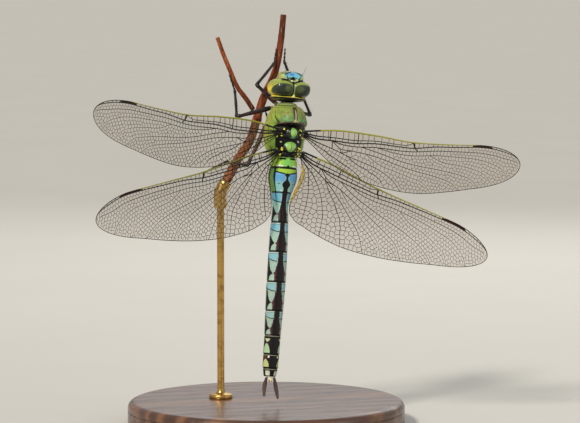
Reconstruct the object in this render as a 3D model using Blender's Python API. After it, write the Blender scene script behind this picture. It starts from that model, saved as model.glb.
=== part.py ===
"""Female emperor dragonfly hanging from a cut stem, life size, on a plain display stand.

The body has a frame of its own: X to its right, Y from its back towards its legs, Z towards its
head, with Z = 0 level with the roots of the forewings. Sizes are in millimetres and are turned
into metres when a piece is made. The row's origin is the middle of the underside of the base.
"""
import math

import bmesh
import bpy
import numpy as np
from mathutils import Matrix, Vector

MM = 0.001
GAP = 0.10  # clearance left between neighbouring pieces

# How the body hangs
BODY_PLACE = (3.0, -6.0, 71.0)  # the body frame's origin, above the middle of the base
VIEW_TURN = -21.0  # degrees from the back towards the left flank, where both leans are measured
SIDE_LEAN = 4.0  # degrees the head leans to the body's right
BACK_LEAN = 7.0  # degrees the head leans away from the side that the back faces

# Stand
BASE_RADIUS = 33.0
BASE_HEIGHT = 6.0
BASE_SIDES = 48
ROD_RADIUS = 0.85
ROD_FOOT_RADIUS = 2.8
ROD_FOOT_HEIGHT = 1.1
COLLAR_RADIUS = 1.5
COLLAR_LENGTH = 5.0

# Abdomen: the ends of its ten segments along Z, and its girth
SEGMENT_ENDS = (-7.0, -9.1, -15.0, -22.0, -28.9, -36.0, -42.8, -48.6, -53.1, -56.4, -58.3)
# Z, half width, half depth, shift of the middle towards the legs
ABDOMEN_GIRTH = (
    (-7.0, 3.10, 3.00, 0.55),
    (-9.1, 3.30, 3.15, 0.60),
    (-12.0, 3.42, 3.20, 0.65),
    (-15.0, 2.50, 2.55, 0.75),
    (-18.0, 1.92, 2.05, 0.80),
    (-22.0, 2.08, 2.15, 0.55),
    (-29.0, 2.26, 2.25, 0.30),
    (-36.3, 2.28, 2.25, 0.05),
    (-43.0, 2.14, 2.10, 0.00),
    (-48.6, 1.98, 1.90, 0.00),
    (-53.0, 1.94, 1.75, 0.00),
    (-56.4, 1.82, 1.60, 0.00),
    (-58.3, 1.46, 1.25, 0.00),
)
ABDOMEN_SIDES = 20
ABDOMEN_RINGS = 5

# Thorax: Z, half width, back, belly
THORAX_GIRTH = (
    (5.40, 2.55, -2.9, 4.5),
    (4.90, 3.20, -4.1, 5.3),
    (3.80, 3.90, -5.0, 6.3),
    (2.40, 4.40, -5.5, 6.9),
    (1.40, 4.60, -5.6, 6.9),
    (0.70, 4.70, -4.2, 6.8),
    (-0.50, 4.80, -3.9, 6.5),
    (-2.50, 4.85, -3.1, 6.1),
    (-4.50, 4.50, -2.7, 5.4),
    (-6.00, 3.80, -2.5, 4.4),
    (-6.90, 3.10, -2.4, 3.6),
)
THORAX_SIDES = 24
PROTHORAX_GIRTH = ((6.30, 1.4, -0.6, 2.8), (5.90, 2.3, -1.7, 4.1), (5.52, 2.5, -2.2, 4.4))

# Head
EYE_MIDDLE = (1.95, 0.70, 9.55)
EYE_RADII = (3.05, 3.95, 2.30)
EYE_FULLNESS = 2.35  # exponent of the eye's rounded form; 2 is an ellipsoid
EYE_REAR = 7.75
CAPSULE_GIRTH = ((6.42, 1.5, -0.4, 3.0), (6.75, 3.5, -1.6, 3.8), (7.20, 4.2, -2.1, 4.0),
                 (7.64, 4.3, -2.2, 4.1))
FACE_BACK = 10.6
# Y from the top shelf down to the mouth, half width, how far forward it reaches
FRONS_FORM = ((-1.98, 1.5, 12.3), (-1.80, 2.3, 13.0), (-1.30, 2.72, 13.45), (-0.40, 2.9, 13.65),
              (0.60, 2.85, 13.6), (1.60, 2.7, 13.35))
CLYPEUS_FORM = ((1.72, 2.6, 13.1), (2.50, 2.45, 12.9), (3.30, 2.2, 12.55))
LABRUM_FORM = ((3.42, 2.1, 12.45), (4.40, 1.9, 12.2), (5.10, 1.2, 11.7))
LABIUM_GIRTH = ((10.48, 1.9, 3.6, 5.5), (9.60, 2.2, 3.0, 5.9), (8.40, 2.1, 2.8, 5.6),
                (7.80, 1.5, 3.2, 4.9))
VERTEX_MIDDLE = (0.0, -2.45, 11.35)
VERTEX_RADII = (0.80, 0.42, 0.48)
ANTENNA_ROOT = (1.15, -2.45, 11.75)
ANTENNA_TIP = (2.70, -2.75, 14.6)
FEELER_RADIUS = 0.25

# Wings: distance along the wing from its hinge, and behind the hinge, of points on each edge.
# Past TIP_START the two edges close on each other as a half ellipse.
WING_THICKNESS = 0.5
WING_HINGE_X = 3.35
FOREWING_FRONT = ((0.0, 0.3), (7.0, -0.6), (17.0, -0.4), (26.0, 0.3), (33.3, 0.0), (41.0, -0.6),
                  (51.6, -1.7))
FOREWING_REAR = ((0.0, 1.8), (3.0, 4.2), (7.0, 7.3), (13.0, 10.1), (19.8, 11.7), (27.5, 12.2),
                 (35.8, 10.9), (41.0, 9.7), (51.6, 8.1))
HINDWING_FRONT = ((0.0, -0.3), (8.0, -0.6), (19.8, -0.2), (30.0, -0.6), (39.9, -1.0), (50.4, -1.0))
HINDWING_REAR = ((0.0, 2.0), (1.2, 6.2), (2.4, 11.3), (5.4, 14.5), (9.5, 15.8), (16.5, 16.1),
                 (26.0, 14.6), (35.0, 11.9), (39.9, 10.1), (50.4, 7.6))
TIP_START = 0.79
WING_STATIONS = 23
WING_STRIPS = 4
TIP_DROOP = 1.2  # how far the tips curve back towards the legs
# name: (side, hinge Y, hinge Z, degrees raised, degrees swept back)
WINGS = {
    "forewing_left": (-1, -3.1, 0.0, 14.5, -1.8),
    "forewing_right": (1, -3.1, 0.0, 14.0, 1.6),
    "hindwing_left": (-1, -2.5, -5.4, 9.5, 20.0),
    "hindwing_right": (1, -2.5, -5.4, 11.0, 21.5),
}

# Legs: coxa, knee, ankle and toe of each
LEGS = {
    "fore_left": ((-1.2, 5.1, 6.1), (-6.0, 6.5, 10.2), (-1.75, 7.0, 15.8), (-1.35, 7.3, 19.2)),
    "fore_right": ((1.2, 5.1, 6.1), (3.9, 7.3, 9.9), (0.75, 7.0, 16.4), (0.85, 7.3, 19.4)),
    "middle_left": ((-1.6, 6.3, 5.2), (-9.9, 8.0, 2.3), (-10.5, 9.0, 8.6), (-12.1, 8.9, 12.0)),
    "middle_right": ((1.6, 6.3, 5.2), (9.4, 9.8, 4.5), (5.2, 9.2, 11.6), (0.4, 8.9, 13.3)),
    "hind_left": ((-1.8, 7.3, 2.6), (-7.2, 5.6, -9.1), (-10.2, 12.6, -8.3), (-13.7, 14.6, -10.6)),
    "hind_right": ((1.8, 7.3, 2.6), (3.0, 12.8, -6.2), (-0.7, 11.6, 2.6), (-2.2, 11.1, 6.2)),
}
FEMUR_RADII = {"fore": (0.42, 0.34), "middle": (0.45, 0.34), "hind": (0.48, 0.36)}
SHIN_RADIUS = 0.27
FOOT_RADIUS = 0.25
LEG_SIDES = 8

# Tail end: root and tip of each cercus, its half width, and the plate between them
CERCUS_ROOTS = {"left": (-0.85, -0.35, -58.45), "right": (1.0, -0.35, -58.45)}
CERCUS_TIPS = {"left": (-0.95, 0.2, -63.1), "right": (2.5, 0.1, -63.5)}
CERCUS_WIDTH = 0.62
CERCUS_THICKNESS = 0.27
TAIL_PLATE_TIP = -59.7

# Perch: the stem that the feet grip, top to bottom, and its side branch
STEM_ROUTE = ((-0.3, 7.0, 27.5), (-0.25, 7.6, 21.0), (-0.8, 8.5, 14.0), (-2.7, 9.3, 8.2),
              (-3.85, 10.0, 3.3), (-5.0, 11.2, -2.8), (-7.4, 12.4, -7.8), (-9.4, 13.6, -12.9))
STEM_RADII = (0.70, 1.12)
BRANCH_ROUTE = ((-5.2, 9.9, 4.5), (-7.0, 9.7, 6.6), (-9.6, 9.6, 9.4), (-11.9, 9.6, 13.4),
                (-14.0, 9.4, 17.2), (-15.7, 9.2, 20.7))
BRANCH_RADII = (0.58, 0.48)
STEM_SIDES = 10
STEM_STEPS = 14


def clear_scene():
    """Remove whatever objects the file opened with."""
    for old in list(bpy.data.objects):
        bpy.data.objects.remove(old, do_unlink=True)


def material(name, colour, roughness, metallic=0.0):
    """A plain Principled finish."""
    made = bpy.data.materials.new(name)
    made.use_nodes = True
    shader = made.node_tree.nodes["Principled BSDF"]
    shader.inputs["Base Color"].default_value = (*colour, 1.0)
    shader.inputs["Roughness"].default_value = roughness
    shader.inputs["Metallic"].default_value = metallic
    return made


def make_materials():
    """Every finish on the model, by name."""
    return {
        "green": material("green_body", (0.24, 0.38, 0.08), 0.45),
        "blue": material("blue_tail", (0.25, 0.50, 0.55), 0.45),
        "brown": material("brown_tail", (0.10, 0.06, 0.05), 0.45),
        "eye": material("eye", (0.16, 0.22, 0.10), 0.15),
        "face": material("face", (0.45, 0.50, 0.15), 0.4),
        "black": material("black_leg", (0.02, 0.016, 0.014), 0.35),
        "wing": material("wing", (0.55, 0.45, 0.28), 0.25),
        "bark": material("bark", (0.28, 0.11, 0.05), 0.8),
        "wood": material("stand_wood", (0.20, 0.10, 0.05), 0.4),
        "brass": material("stand_brass", (0.75, 0.58, 0.30), 0.3, 1.0),
    }


def body_axis():
    """The empty that carries the body frame: its place and its two leans."""
    turn = math.radians(VIEW_TURN)
    facing = Vector((math.sin(turn), -math.cos(turn), 0.0))
    across = Vector((math.cos(turn), math.sin(turn), 0.0))
    side = Matrix.Rotation(math.radians(-SIDE_LEAN), 4, facing)
    back = Matrix.Rotation(math.radians(-BACK_LEAN), 4, across)
    empty = bpy.data.objects.new("body_axis", None)
    bpy.context.scene.collection.objects.link(empty)
    empty.matrix_world = Matrix.Translation(Vector(BODY_PLACE) * MM) @ back @ side
    return empty


def add_object(name, bm, finish, parent=None):
    """Close a bmesh built in millimetres into a named, smooth-shaded object in metres."""
    bmesh.ops.recalc_face_normals(bm, faces=bm.faces)
    bmesh.ops.scale(bm, vec=(MM, MM, MM), verts=bm.verts)
    mesh = bpy.data.meshes.new(name)
    bm.to_mesh(mesh)
    bm.free()
    mesh.shade_smooth()
    mesh.set_sharp_from_angle(angle=math.radians(40))
    mesh.materials.append(finish)
    made = bpy.data.objects.new(name, mesh)
    made.parent = parent
    bpy.context.scene.collection.objects.link(made)
    return made


def add_cutter(name, bm, finish, parent):
    """A guide that only cuts other pieces."""
    made = add_object(name, bm, finish, parent)
    made.display_type = "WIRE"
    made.hide_render = True
    return made


def cut_away(target, cutter):
    """Take the cutter's space out of a piece."""
    cut = target.modifiers.new("clear_" + cutter.name, "BOOLEAN")
    cut.operation = "DIFFERENCE"
    cut.solver = "EXACT"
    cut.object = cutter


def smooth_table(table, at):
    """Values between a table's rows, read from a curve with a continuous slope.

    Each row is a place followed by its values. Between two rows the value is a cubic whose end
    slopes are those of the chords through the neighbouring rows.
    """
    rows = np.array(table, dtype=float)
    rows = rows[np.argsort(rows[:, 0])]
    places = rows[:, 0]
    values = rows[:, 1:]
    slopes = np.gradient(values, places, axis=0)
    at = np.atleast_1d(np.asarray(at, dtype=float))
    left = np.clip(np.searchsorted(places, at) - 1, 0, len(places) - 2)
    span = places[left + 1] - places[left]
    t = ((at - places[left]) / span)[:, None]
    h = span[:, None]
    start = (1 + 2 * t) * (1 - t) ** 2 * values[left] + t * (1 - t) ** 2 * h * slopes[left]
    end = t * t * (3 - 2 * t) * values[left + 1] + t * t * (t - 1) * h * slopes[left + 1]
    return start + end


def oval_ring(z, half_width, back, belly, sides, grow=0.0):
    """An oval across the body at height z, reaching from the back to the belly."""
    turn = np.arange(sides) * 2.0 * np.pi / sides
    middle = (back + belly) / 2.0
    depth = (belly - back) / 2.0 + grow
    ring = np.empty((sides, 3))
    ring[:, 0] = (half_width + grow) * np.cos(turn)
    ring[:, 1] = middle + depth * np.sin(turn)
    ring[:, 2] = z
    return ring


def face_ring(y, half_width, front, sides, grow=0.0):
    """A rounded slice of the face at depth y: flat-backed, bulging forwards."""
    turn = np.arange(sides) * 2.0 * np.pi / sides
    middle = (front + FACE_BACK) / 2.0
    reach = (front - FACE_BACK) / 2.0 + grow
    squareness = 0.72
    across = np.sign(np.cos(turn)) * np.abs(np.cos(turn)) ** squareness
    ahead = np.sign(np.sin(turn)) * np.abs(np.sin(turn)) ** squareness
    ring = np.empty((sides, 3))
    ring[:, 0] = (half_width + grow) * across
    ring[:, 1] = y
    ring[:, 2] = middle + reach * ahead
    return ring


def loft(rings):
    """Skin a row of equal rings and close both ends with a fan about their middles."""
    bm = bmesh.new()
    loops = [[bm.verts.new(point) for point in ring] for ring in rings]
    count = len(loops[0])
    for near, far in zip(loops, loops[1:]):
        for i in range(count):
            j = (i + 1) % count
            bm.faces.new((near[i], near[j], far[j], far[i]))
    for loop, ring in ((loops[0], rings[0]), (loops[-1], rings[-1])):
        middle = bm.verts.new(np.mean(ring, axis=0))
        for i in range(count):
            bm.faces.new((loop[i], loop[(i + 1) % count], middle))
    return bm


def smooth_route(points, steps):
    """A smooth curve through a few points, read at equal steps of their running length."""
    points = np.array(points, dtype=float)
    lengths = np.concatenate(([0.0], np.cumsum(np.linalg.norm(np.diff(points, axis=0), axis=1))))
    table = np.column_stack((lengths, points))
    return smooth_table(table, np.linspace(0.0, lengths[-1], steps))


def tube(route, radii, sides, flat=1.0, flat_axis=(0.0, 1.0, 0.0)):
    """Rings carried along a route, square to it, with a radius for each point.

    flat squeezes each ring along the direction nearest to flat_axis.
    """
    route = np.array(route, dtype=float)
    heading = np.gradient(route, axis=0)
    heading /= np.linalg.norm(heading, axis=1)[:, None]
    turn = np.arange(sides) * 2.0 * np.pi / sides
    rings = []
    for middle, ahead, radius in zip(route, heading, radii):
        up = np.array(flat_axis) - np.dot(flat_axis, ahead) * ahead
        up /= np.linalg.norm(up)
        aside = np.cross(up, ahead)
        spread = np.outer(np.cos(turn), aside) + flat * np.outer(np.sin(turn), up)
        rings.append(middle + radius * spread)
    return rings


def superellipsoid(middle, radii, fullness, around, along):
    """A closed rounded form: |x/a|^n + |y/b|^n + |z/c|^n = 1."""
    bm = bmesh.new()
    bmesh.ops.create_uvsphere(bm, u_segments=around, v_segments=along, radius=1.0)
    for vert in bm.verts:
        size = sum(abs(value) ** fullness for value in vert.co) ** (1.0 / fullness)
        unit = vert.co / size
        vert.co = Vector([m + r * u for m, r, u in zip(middle, radii, unit)])
    return bm


def keep_side(bm, point, normal):
    """Cut a closed bmesh by a plane and close it again, keeping the side the normal leaves."""
    geometry = list(bm.verts) + list(bm.edges) + list(bm.faces)
    cut = bmesh.ops.bisect_plane(bm, geom=geometry, dist=1e-4, plane_co=point, plane_no=normal,
                                 clear_outer=True)
    edges = [item for item in cut["geom_cut"] if isinstance(item, bmesh.types.BMEdge)]
    bmesh.ops.holes_fill(bm, edges=edges, sides=0)
    return bm


def make_head(finish, parent):
    """Eyes, rear capsule, face in three steps, mouthparts, vertex and antennae."""
    face_sides = 16
    rings = [oval_ring(*row, THORAX_SIDES) for row in CAPSULE_GIRTH]
    add_object("head_capsule", loft(rings), finish["green"], parent)
    rings = [oval_ring(*row, face_sides) for row in LABIUM_GIRTH]
    add_object("head_labium", loft(rings), finish["face"], parent)
    for name, form in (("head_frons", FRONS_FORM), ("head_clypeus", CLYPEUS_FORM),
                       ("head_labrum", LABRUM_FORM)):
        rings = [face_ring(*row, face_sides) for row in form]
        add_object(name, loft(rings), finish["face"], parent)

    whole_face = FRONS_FORM + CLYPEUS_FORM + LABRUM_FORM
    top = (FRONS_FORM[0][0] - GAP, *FRONS_FORM[0][1:])
    rings = [face_ring(*row, face_sides, GAP) for row in (top,) + whole_face]
    face_room = add_cutter("face_room", loft(rings), finish["face"], parent)
    ends = ((LABIUM_GIRTH[0][0] + GAP, *LABIUM_GIRTH[0][1:]),
            (LABIUM_GIRTH[-1][0] - GAP, *LABIUM_GIRTH[-1][1:]))
    rings = [oval_ring(*row, face_sides, GAP) for row in (ends[0],) + LABIUM_GIRTH[1:-1] + (ends[1],)]
    mouth_room = add_cutter("mouth_room", loft(rings), finish["face"], parent)
    for side, word in ((-1, "left"), (1, "right")):
        middle = (side * EYE_MIDDLE[0], EYE_MIDDLE[1], EYE_MIDDLE[2])
        bm = superellipsoid(middle, EYE_RADII, EYE_FULLNESS, 20, 12)
        keep_side(bm, (side * GAP / 2.0, 0.0, 0.0), (-side, 0.0, 0.0))
        keep_side(bm, (0.0, 0.0, EYE_REAR), (0.0, 0.0, -1.0))
        eye = add_object("eye_" + word, bm, finish["eye"], parent)
        cut_away(eye, face_room)
        cut_away(eye, mouth_room)

        root = np.array(ANTENNA_ROOT) * (side, 1, 1)
        tip = np.array(ANTENNA_TIP) * (side, 1, 1)
        route = np.linspace(root, tip, 4)
        bm = loft(tube(route, [FEELER_RADIUS] * 4, 6, flat_axis=(1.0, 0.0, 0.0)))
        add_object("antenna_" + word, bm, finish["black"], parent)
    bm = superellipsoid(VERTEX_MIDDLE, VERTEX_RADII, 2.0, 12, 8)
    vertex = add_object("head_vertex", bm, finish["face"], parent)
    cut_away(vertex, face_room)


def make_thorax(finish, parent):
    """Prothorax, the winged thorax, and the two plates between the wings."""
    rings = [oval_ring(*row, THORAX_SIDES) for row in PROTHORAX_GIRTH]
    add_object("prothorax", loft(rings), finish["green"], parent)
    rings = [oval_ring(*row, THORAX_SIDES) for row in THORAX_GIRTH]
    add_object("thorax", loft(rings), finish["green"], parent)
    rings = [oval_ring(*row, THORAX_SIDES, GAP) for row in THORAX_GIRTH]
    room = add_cutter("thorax_room", loft(rings), finish["green"], parent)
    plates = {
        "thorax_plate_fore": ((0.0, -3.5, -1.1), (1.75, 1.45, 1.35)),
        "thorax_plate_hind": ((0.0, -2.6, -4.3), (1.75, 1.15, 1.30)),
    }
    for name, (middle, radii) in plates.items():
        plate = add_object(name, superellipsoid(middle, radii, 2.2, 16, 10), finish["green"], parent)
        cut_away(plate, room)


def make_abdomen(finish, parent):
    """Ten segments, each a barrel cut from one long tapered form."""
    for number in range(10):
        top = SEGMENT_ENDS[number] - GAP / 2.0
        foot = SEGMENT_ENDS[number + 1] + GAP / 2.0
        heights = np.linspace(top, foot, ABDOMEN_RINGS)
        rings = []
        for z, (width, depth, shift) in zip(heights, smooth_table(ABDOMEN_GIRTH, heights)):
            rings.append(oval_ring(z, width, shift - depth, shift + depth, ABDOMEN_SIDES))
        shade = finish["green"] if number == 0 else finish["blue"]
        if number > 6:
            shade = finish["brown"]
        add_object(f"abdomen_{number + 1}", loft(rings), shade, parent)


def make_tail_end(finish, parent):
    """Two long leaf-shaped cerci and the small plate between their roots."""
    steps = np.linspace(0.0, 1.0, 7)
    leaf = 0.42 + 0.58 * np.sin(np.pi * np.clip(steps * 0.95 + 0.02, 0.0, 1.0)) ** 0.8
    for side, word in ((-1, "left"), (1, "right")):
        root = np.array(CERCUS_ROOTS[word])
        route = root + np.outer(steps, CERCUS_TIPS[word] - root)
        route[:, 0] += side * 0.3 * np.sin(np.pi * steps)
        route[:, 1] += 0.35 * np.sin(np.pi * steps)
        rings = tube(route, CERCUS_WIDTH * leaf, 8, flat=CERCUS_THICKNESS / CERCUS_WIDTH)
        add_object("cercus_" + word, loft(rings), finish["brown"], parent)
    top = SEGMENT_ENDS[-1] - GAP
    rings = [oval_ring(z, width, -0.75, 0.45, 10)
             for z, width in ((top, 0.24), ((top + TAIL_PLATE_TIP) / 2, 0.24), (TAIL_PLATE_TIP, 0.2))]
    add_object("tail_plate", loft(rings), finish["brown"], parent)


def wing_frame(side, raised, swept):
    """Unit vectors along the wing, towards its rear edge, and out of its upper face."""
    lift = math.radians(raised)
    sweep = math.radians(swept)
    along = np.array((side * math.cos(lift) * math.cos(sweep), -math.sin(lift) * math.cos(sweep),
                      -math.sin(sweep)))
    rearward = np.array((-side * math.cos(lift) * math.sin(sweep),
                         math.sin(lift) * math.sin(sweep), -math.cos(sweep)))
    upward = np.cross(along, rearward) * side
    return along, rearward, upward


def make_wing(name, finish, parent):
    """A thin plate between the front and rear edges, its tip curving gently down."""
    side, hinge_y, hinge_z, raised, swept = WINGS[name]
    fore = name.startswith("fore")
    front = FOREWING_FRONT if fore else HINDWING_FRONT
    rear = FOREWING_REAR if fore else HINDWING_REAR
    length = front[-1][0]
    along, rearward, upward = wing_frame(side, raised, swept)
    hinge = np.array((side * WING_HINGE_X, hinge_y, hinge_z))
    # stations crowd towards both ends
    reach = length * (0.5 - 0.5 * np.cos(np.linspace(0.0, np.pi, WING_STATIONS)))
    front_edge = smooth_table(front, reach)[:, 0]
    rear_edge = smooth_table(rear, reach)[:, 0]
    closing = np.clip((reach / length - TIP_START) / (1.0 - TIP_START), 0.0, 0.999)
    middles = (front_edge + rear_edge) / 2.0
    halves = (rear_edge - front_edge) / 2.0 * np.sqrt(1.0 - closing ** 2)
    across = np.linspace(-1.0, 1.0, WING_STRIPS + 1)
    rings = []
    for u, centre, half in zip(reach, middles, halves):
        line = centre + half * across
        sag = TIP_DROOP * (u / length) ** 2
        middle = hinge + u * along - sag * upward + np.outer(line, rearward)
        upper = middle + upward * WING_THICKNESS / 2.0
        lower = middle - upward * WING_THICKNESS / 2.0
        rings.append(np.vstack((upper, lower[::-1])))
    bm = bmesh.new()
    loops = [[bm.verts.new(point) for point in ring] for ring in rings]
    count = len(loops[0])
    for near, far in zip(loops, loops[1:]):
        for i in range(count):
            j = (i + 1) % count
            bm.faces.new((near[i], near[j], far[j], far[i]))
    for loop in (loops[0], loops[-1]):
        for i in range(WING_STRIPS):
            bm.faces.new((loop[i], loop[i + 1], loop[count - 2 - i], loop[count - 1 - i]))
    add_object(name, bm, finish["wing"], parent)


def joint_room(inward, outward, near_radius, far_radius):
    """How far past a joint the next rod may start without meeting the one before it."""
    fold = math.pi - math.acos(max(-1.0, min(1.0, float(np.dot(inward, outward)))))
    if fold < math.pi / 2.0:
        return GAP + (near_radius + far_radius * math.cos(fold)) / math.sin(fold)
    return GAP + near_radius * math.sin(fold)


def make_leg(name, finish, parent):
    """Femur, tibia and tarsus, each a slim tapered rod that stops just short of the next."""
    points = [np.array(point) for point in LEGS[name]]
    thigh = FEMUR_RADII[name.split("_")[0]]
    radii = (thigh, (SHIN_RADIUS, SHIN_RADIUS), (FOOT_RADIUS, FOOT_RADIUS))
    before = None
    for number, word in enumerate(("femur", "tibia", "tarsus")):
        start, end = points[number], points[number + 1]
        heading = (end - start) / np.linalg.norm(end - start)
        room = 0.0
        if before is not None:
            room = joint_room(before, heading, radii[number - 1][1], radii[number][0])
        route = np.linspace(start + heading * room, end - heading * GAP, 4)
        swell = np.linspace(*radii[number], 4)
        if word == "femur":
            swell *= (0.8, 1.12, 1.0, 1.0)
        bm = loft(tube(route, swell, LEG_SIDES, flat_axis=(0.31, 0.95, 0.05)))
        add_object(f"{word}_{name}", bm, finish["black"], parent)
        before = heading


def make_perch(finish, parent):
    """The cut stem that the feet hold, and the thin branch that forks from it."""
    route = smooth_route(STEM_ROUTE, STEM_STEPS)
    radii = np.linspace(STEM_RADII[0], STEM_RADII[1], STEM_STEPS)
    add_object("perch_stem", loft(tube(route, radii, STEM_SIDES)), finish["bark"], parent)
    route = smooth_route(BRANCH_ROUTE, STEM_STEPS)
    radii = np.linspace(BRANCH_RADII[0], BRANCH_RADII[1], STEM_STEPS)
    add_object("perch_branch", loft(tube(route, radii, 8)), finish["bark"], parent)


def make_stand(finish, frame):
    """A flat turned disc, an upright rod on a foot plate, and the collar that holds the stem."""
    rings = []
    for z, inset in ((0.0, 0.5), (0.5, 0.0), (BASE_HEIGHT - 1.6, 0.0), (BASE_HEIGHT - 0.5, 0.5),
                     (BASE_HEIGHT, 1.6)):
        reach = BASE_RADIUS - inset
        rings.append(oval_ring(z, reach, -reach, reach, BASE_SIDES))
    add_object("stand_base", loft(rings), finish["wood"])

    # the stem's cut lower end, and the way it points there, in the row's own frame
    route = smooth_route(STEM_ROUTE, STEM_STEPS)
    end = np.array(frame @ Vector(route[-1] * MM)) / MM
    before = np.array(frame @ Vector(route[-2] * MM)) / MM
    heading = (end - before) / np.linalg.norm(end - before)
    mouth = end + heading * GAP
    bend = mouth + heading * COLLAR_LENGTH * 0.55
    foot = bend - np.array((0.0, 0.0, COLLAR_LENGTH * 0.75))
    rings = tube(smooth_route((mouth, bend, foot), 6), [COLLAR_RADIUS] * 6, 12,
                 flat_axis=(0.31, 0.95, 0.05))
    add_object("stand_collar", loft(rings), finish["brass"])

    rod_top = foot[2] - GAP - COLLAR_RADIUS * 0.35
    top = BASE_HEIGHT + ROD_FOOT_HEIGHT
    disc = [oval_ring(z, ROD_FOOT_RADIUS, -ROD_FOOT_RADIUS, ROD_FOOT_RADIUS, 20)
            for z in (BASE_HEIGHT + GAP, top)]
    sleeve = [oval_ring(z, ROD_RADIUS, -ROD_RADIUS, ROD_RADIUS, 20)
              for z in (top + 0.01, rod_top)]
    rings = [ring + (foot[0], foot[1], 0.0) for ring in disc + sleeve]
    add_object("stand_rod", loft(rings), finish["brass"])


def main():
    clear_scene()
    finish = make_materials()
    axis = body_axis()
    frame = axis.matrix_world.copy()
    make_head(finish, axis)
    make_thorax(finish, axis)
    make_abdomen(finish, axis)
    make_tail_end(finish, axis)
    for name in WINGS:
        make_wing(name, finish, axis)
    for name in LEGS:
        make_leg(name, finish, axis)
    make_perch(finish, axis)
    make_stand(finish, frame)


main()
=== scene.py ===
"""Looks of a life-size female emperor dragonfly that hangs from a cut stem on a display stand.

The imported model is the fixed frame, and every piece here is made in place around it. The body has
axes of its own, in millimetres: X to its right, Y from its back towards its legs, Z towards its
head, with Z = 0 level with the roots of the forewings. Shapes are worked out there and carried into
the row's own metres when a mesh is made. Markings are node patterns that read the same axes.
"""
import math

import bmesh
import bpy
import numpy as np
from mathutils import Matrix, Vector, geometry


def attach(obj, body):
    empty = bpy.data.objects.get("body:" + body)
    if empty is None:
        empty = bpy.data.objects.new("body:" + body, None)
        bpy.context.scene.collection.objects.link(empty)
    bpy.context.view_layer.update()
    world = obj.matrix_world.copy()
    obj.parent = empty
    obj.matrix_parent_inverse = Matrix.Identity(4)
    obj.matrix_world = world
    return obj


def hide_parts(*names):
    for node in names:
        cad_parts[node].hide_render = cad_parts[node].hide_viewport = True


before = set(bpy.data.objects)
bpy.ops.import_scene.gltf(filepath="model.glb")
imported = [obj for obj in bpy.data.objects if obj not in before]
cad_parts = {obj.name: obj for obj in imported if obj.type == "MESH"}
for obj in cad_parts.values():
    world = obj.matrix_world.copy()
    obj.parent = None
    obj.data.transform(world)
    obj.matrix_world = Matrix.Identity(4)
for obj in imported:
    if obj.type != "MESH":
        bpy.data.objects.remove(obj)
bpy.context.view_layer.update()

bl_info = {
    "name": "Dragonfly display model",
    "version": (1, 0, 0),
    "blender": (4, 5, 0),
    "location": "View3D > Sidebar > Dragonfly",
    "description": "Finishes the packed dragonfly: skin, eyes, wings with veins, legs, perch, stand",
    "category": "Object",
}

MM = 0.001
SIDES = ((-1, "left"), (1, "right"))
BODY = "root"

# The body's own axes in the row: where their origin stands, and how they lean
BODY_PLACE = np.array((3, -6, 71))
VIEW_TURN = math.radians(-21)
SIDE_LEAN = math.radians(4)
BACK_LEAN = math.radians(7)
FACING = Vector((math.sin(VIEW_TURN), -math.cos(VIEW_TURN), 0))
ACROSS = Vector((math.cos(VIEW_TURN), math.sin(VIEW_TURN), 0))
BODY_TURN = (Matrix.Rotation(-BACK_LEAN, 3, ACROSS) @ Matrix.Rotation(-SIDE_LEAN, 3, FACING))
BODY_AXES = np.array(BODY_TURN)

# Rows of the body's outline: Z, half width, back, belly
TRUNK_GIRTH = ((6.3, 1.4, -0.6, 2.8), (5.9, 2.3, -1.7, 4.1), (5.52, 2.5, -2.2, 4.4),
    (5.4, 2.55, -2.9, 4.5), (4.9, 3.2, -4.1, 5.3), (3.8, 3.9, -5, 6.3), (2.4, 4.4, -5.5, 6.9),
    (1.4, 4.6, -5.6, 6.9), (0.7, 4.7, -4.2, 6.8), (-0.5, 4.8, -3.9, 6.5), (-2.5, 4.85, -3.1, 6.1),
    (-4.5, 4.5, -2.7, 5.4), (-6, 3.8, -2.5, 4.4), (-6.9, 3.1, -2.4, 3.6))
# Z, half width, half depth, shift towards the legs
TAIL_GIRTH = ((-7, 3.1, 3, 0.55), (-9.1, 3.3, 3.15, 0.6), (-12, 3.42, 3.2, 0.65), (-15, 2.5, 2.55, 0.75),
    (-18, 1.92, 2.05, 0.8), (-22, 2.08, 2.15, 0.55), (-29, 2.26, 2.25, 0.3), (-36.3, 2.28, 2.25, 0.05),
    (-43, 2.14, 2.1, 0), (-48.6, 1.98, 1.9, 0), (-53, 1.94, 1.75, 0), (-56.4, 1.82, 1.6, 0),
    (-58.3, 1.46, 1.25, 0))
# Seams of the thorax, as Z and degrees round from the back: the one from the shoulder, and the foot
# and head of those on the flank. The ridge before the wings bows back by so much per degree squared.
SHOULDER_SEAM = ((0.4, 40), (1.46, 52), (2.3, 64), (3.6, 73), (5.2, 77))
FLANK_SEAMS = (((2.5, 125), (-1.6, 50)), ((-1, 130), (-5.6, 55)))
RIDGE_BOW = 0.00024
# Z of the joints between the rings of the tail
SEGMENT_ENDS = (-7, -9.1, -15, -22, -28.9, -36, -42.8, -48.6, -53.1, -56.4, -58.3)

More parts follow.
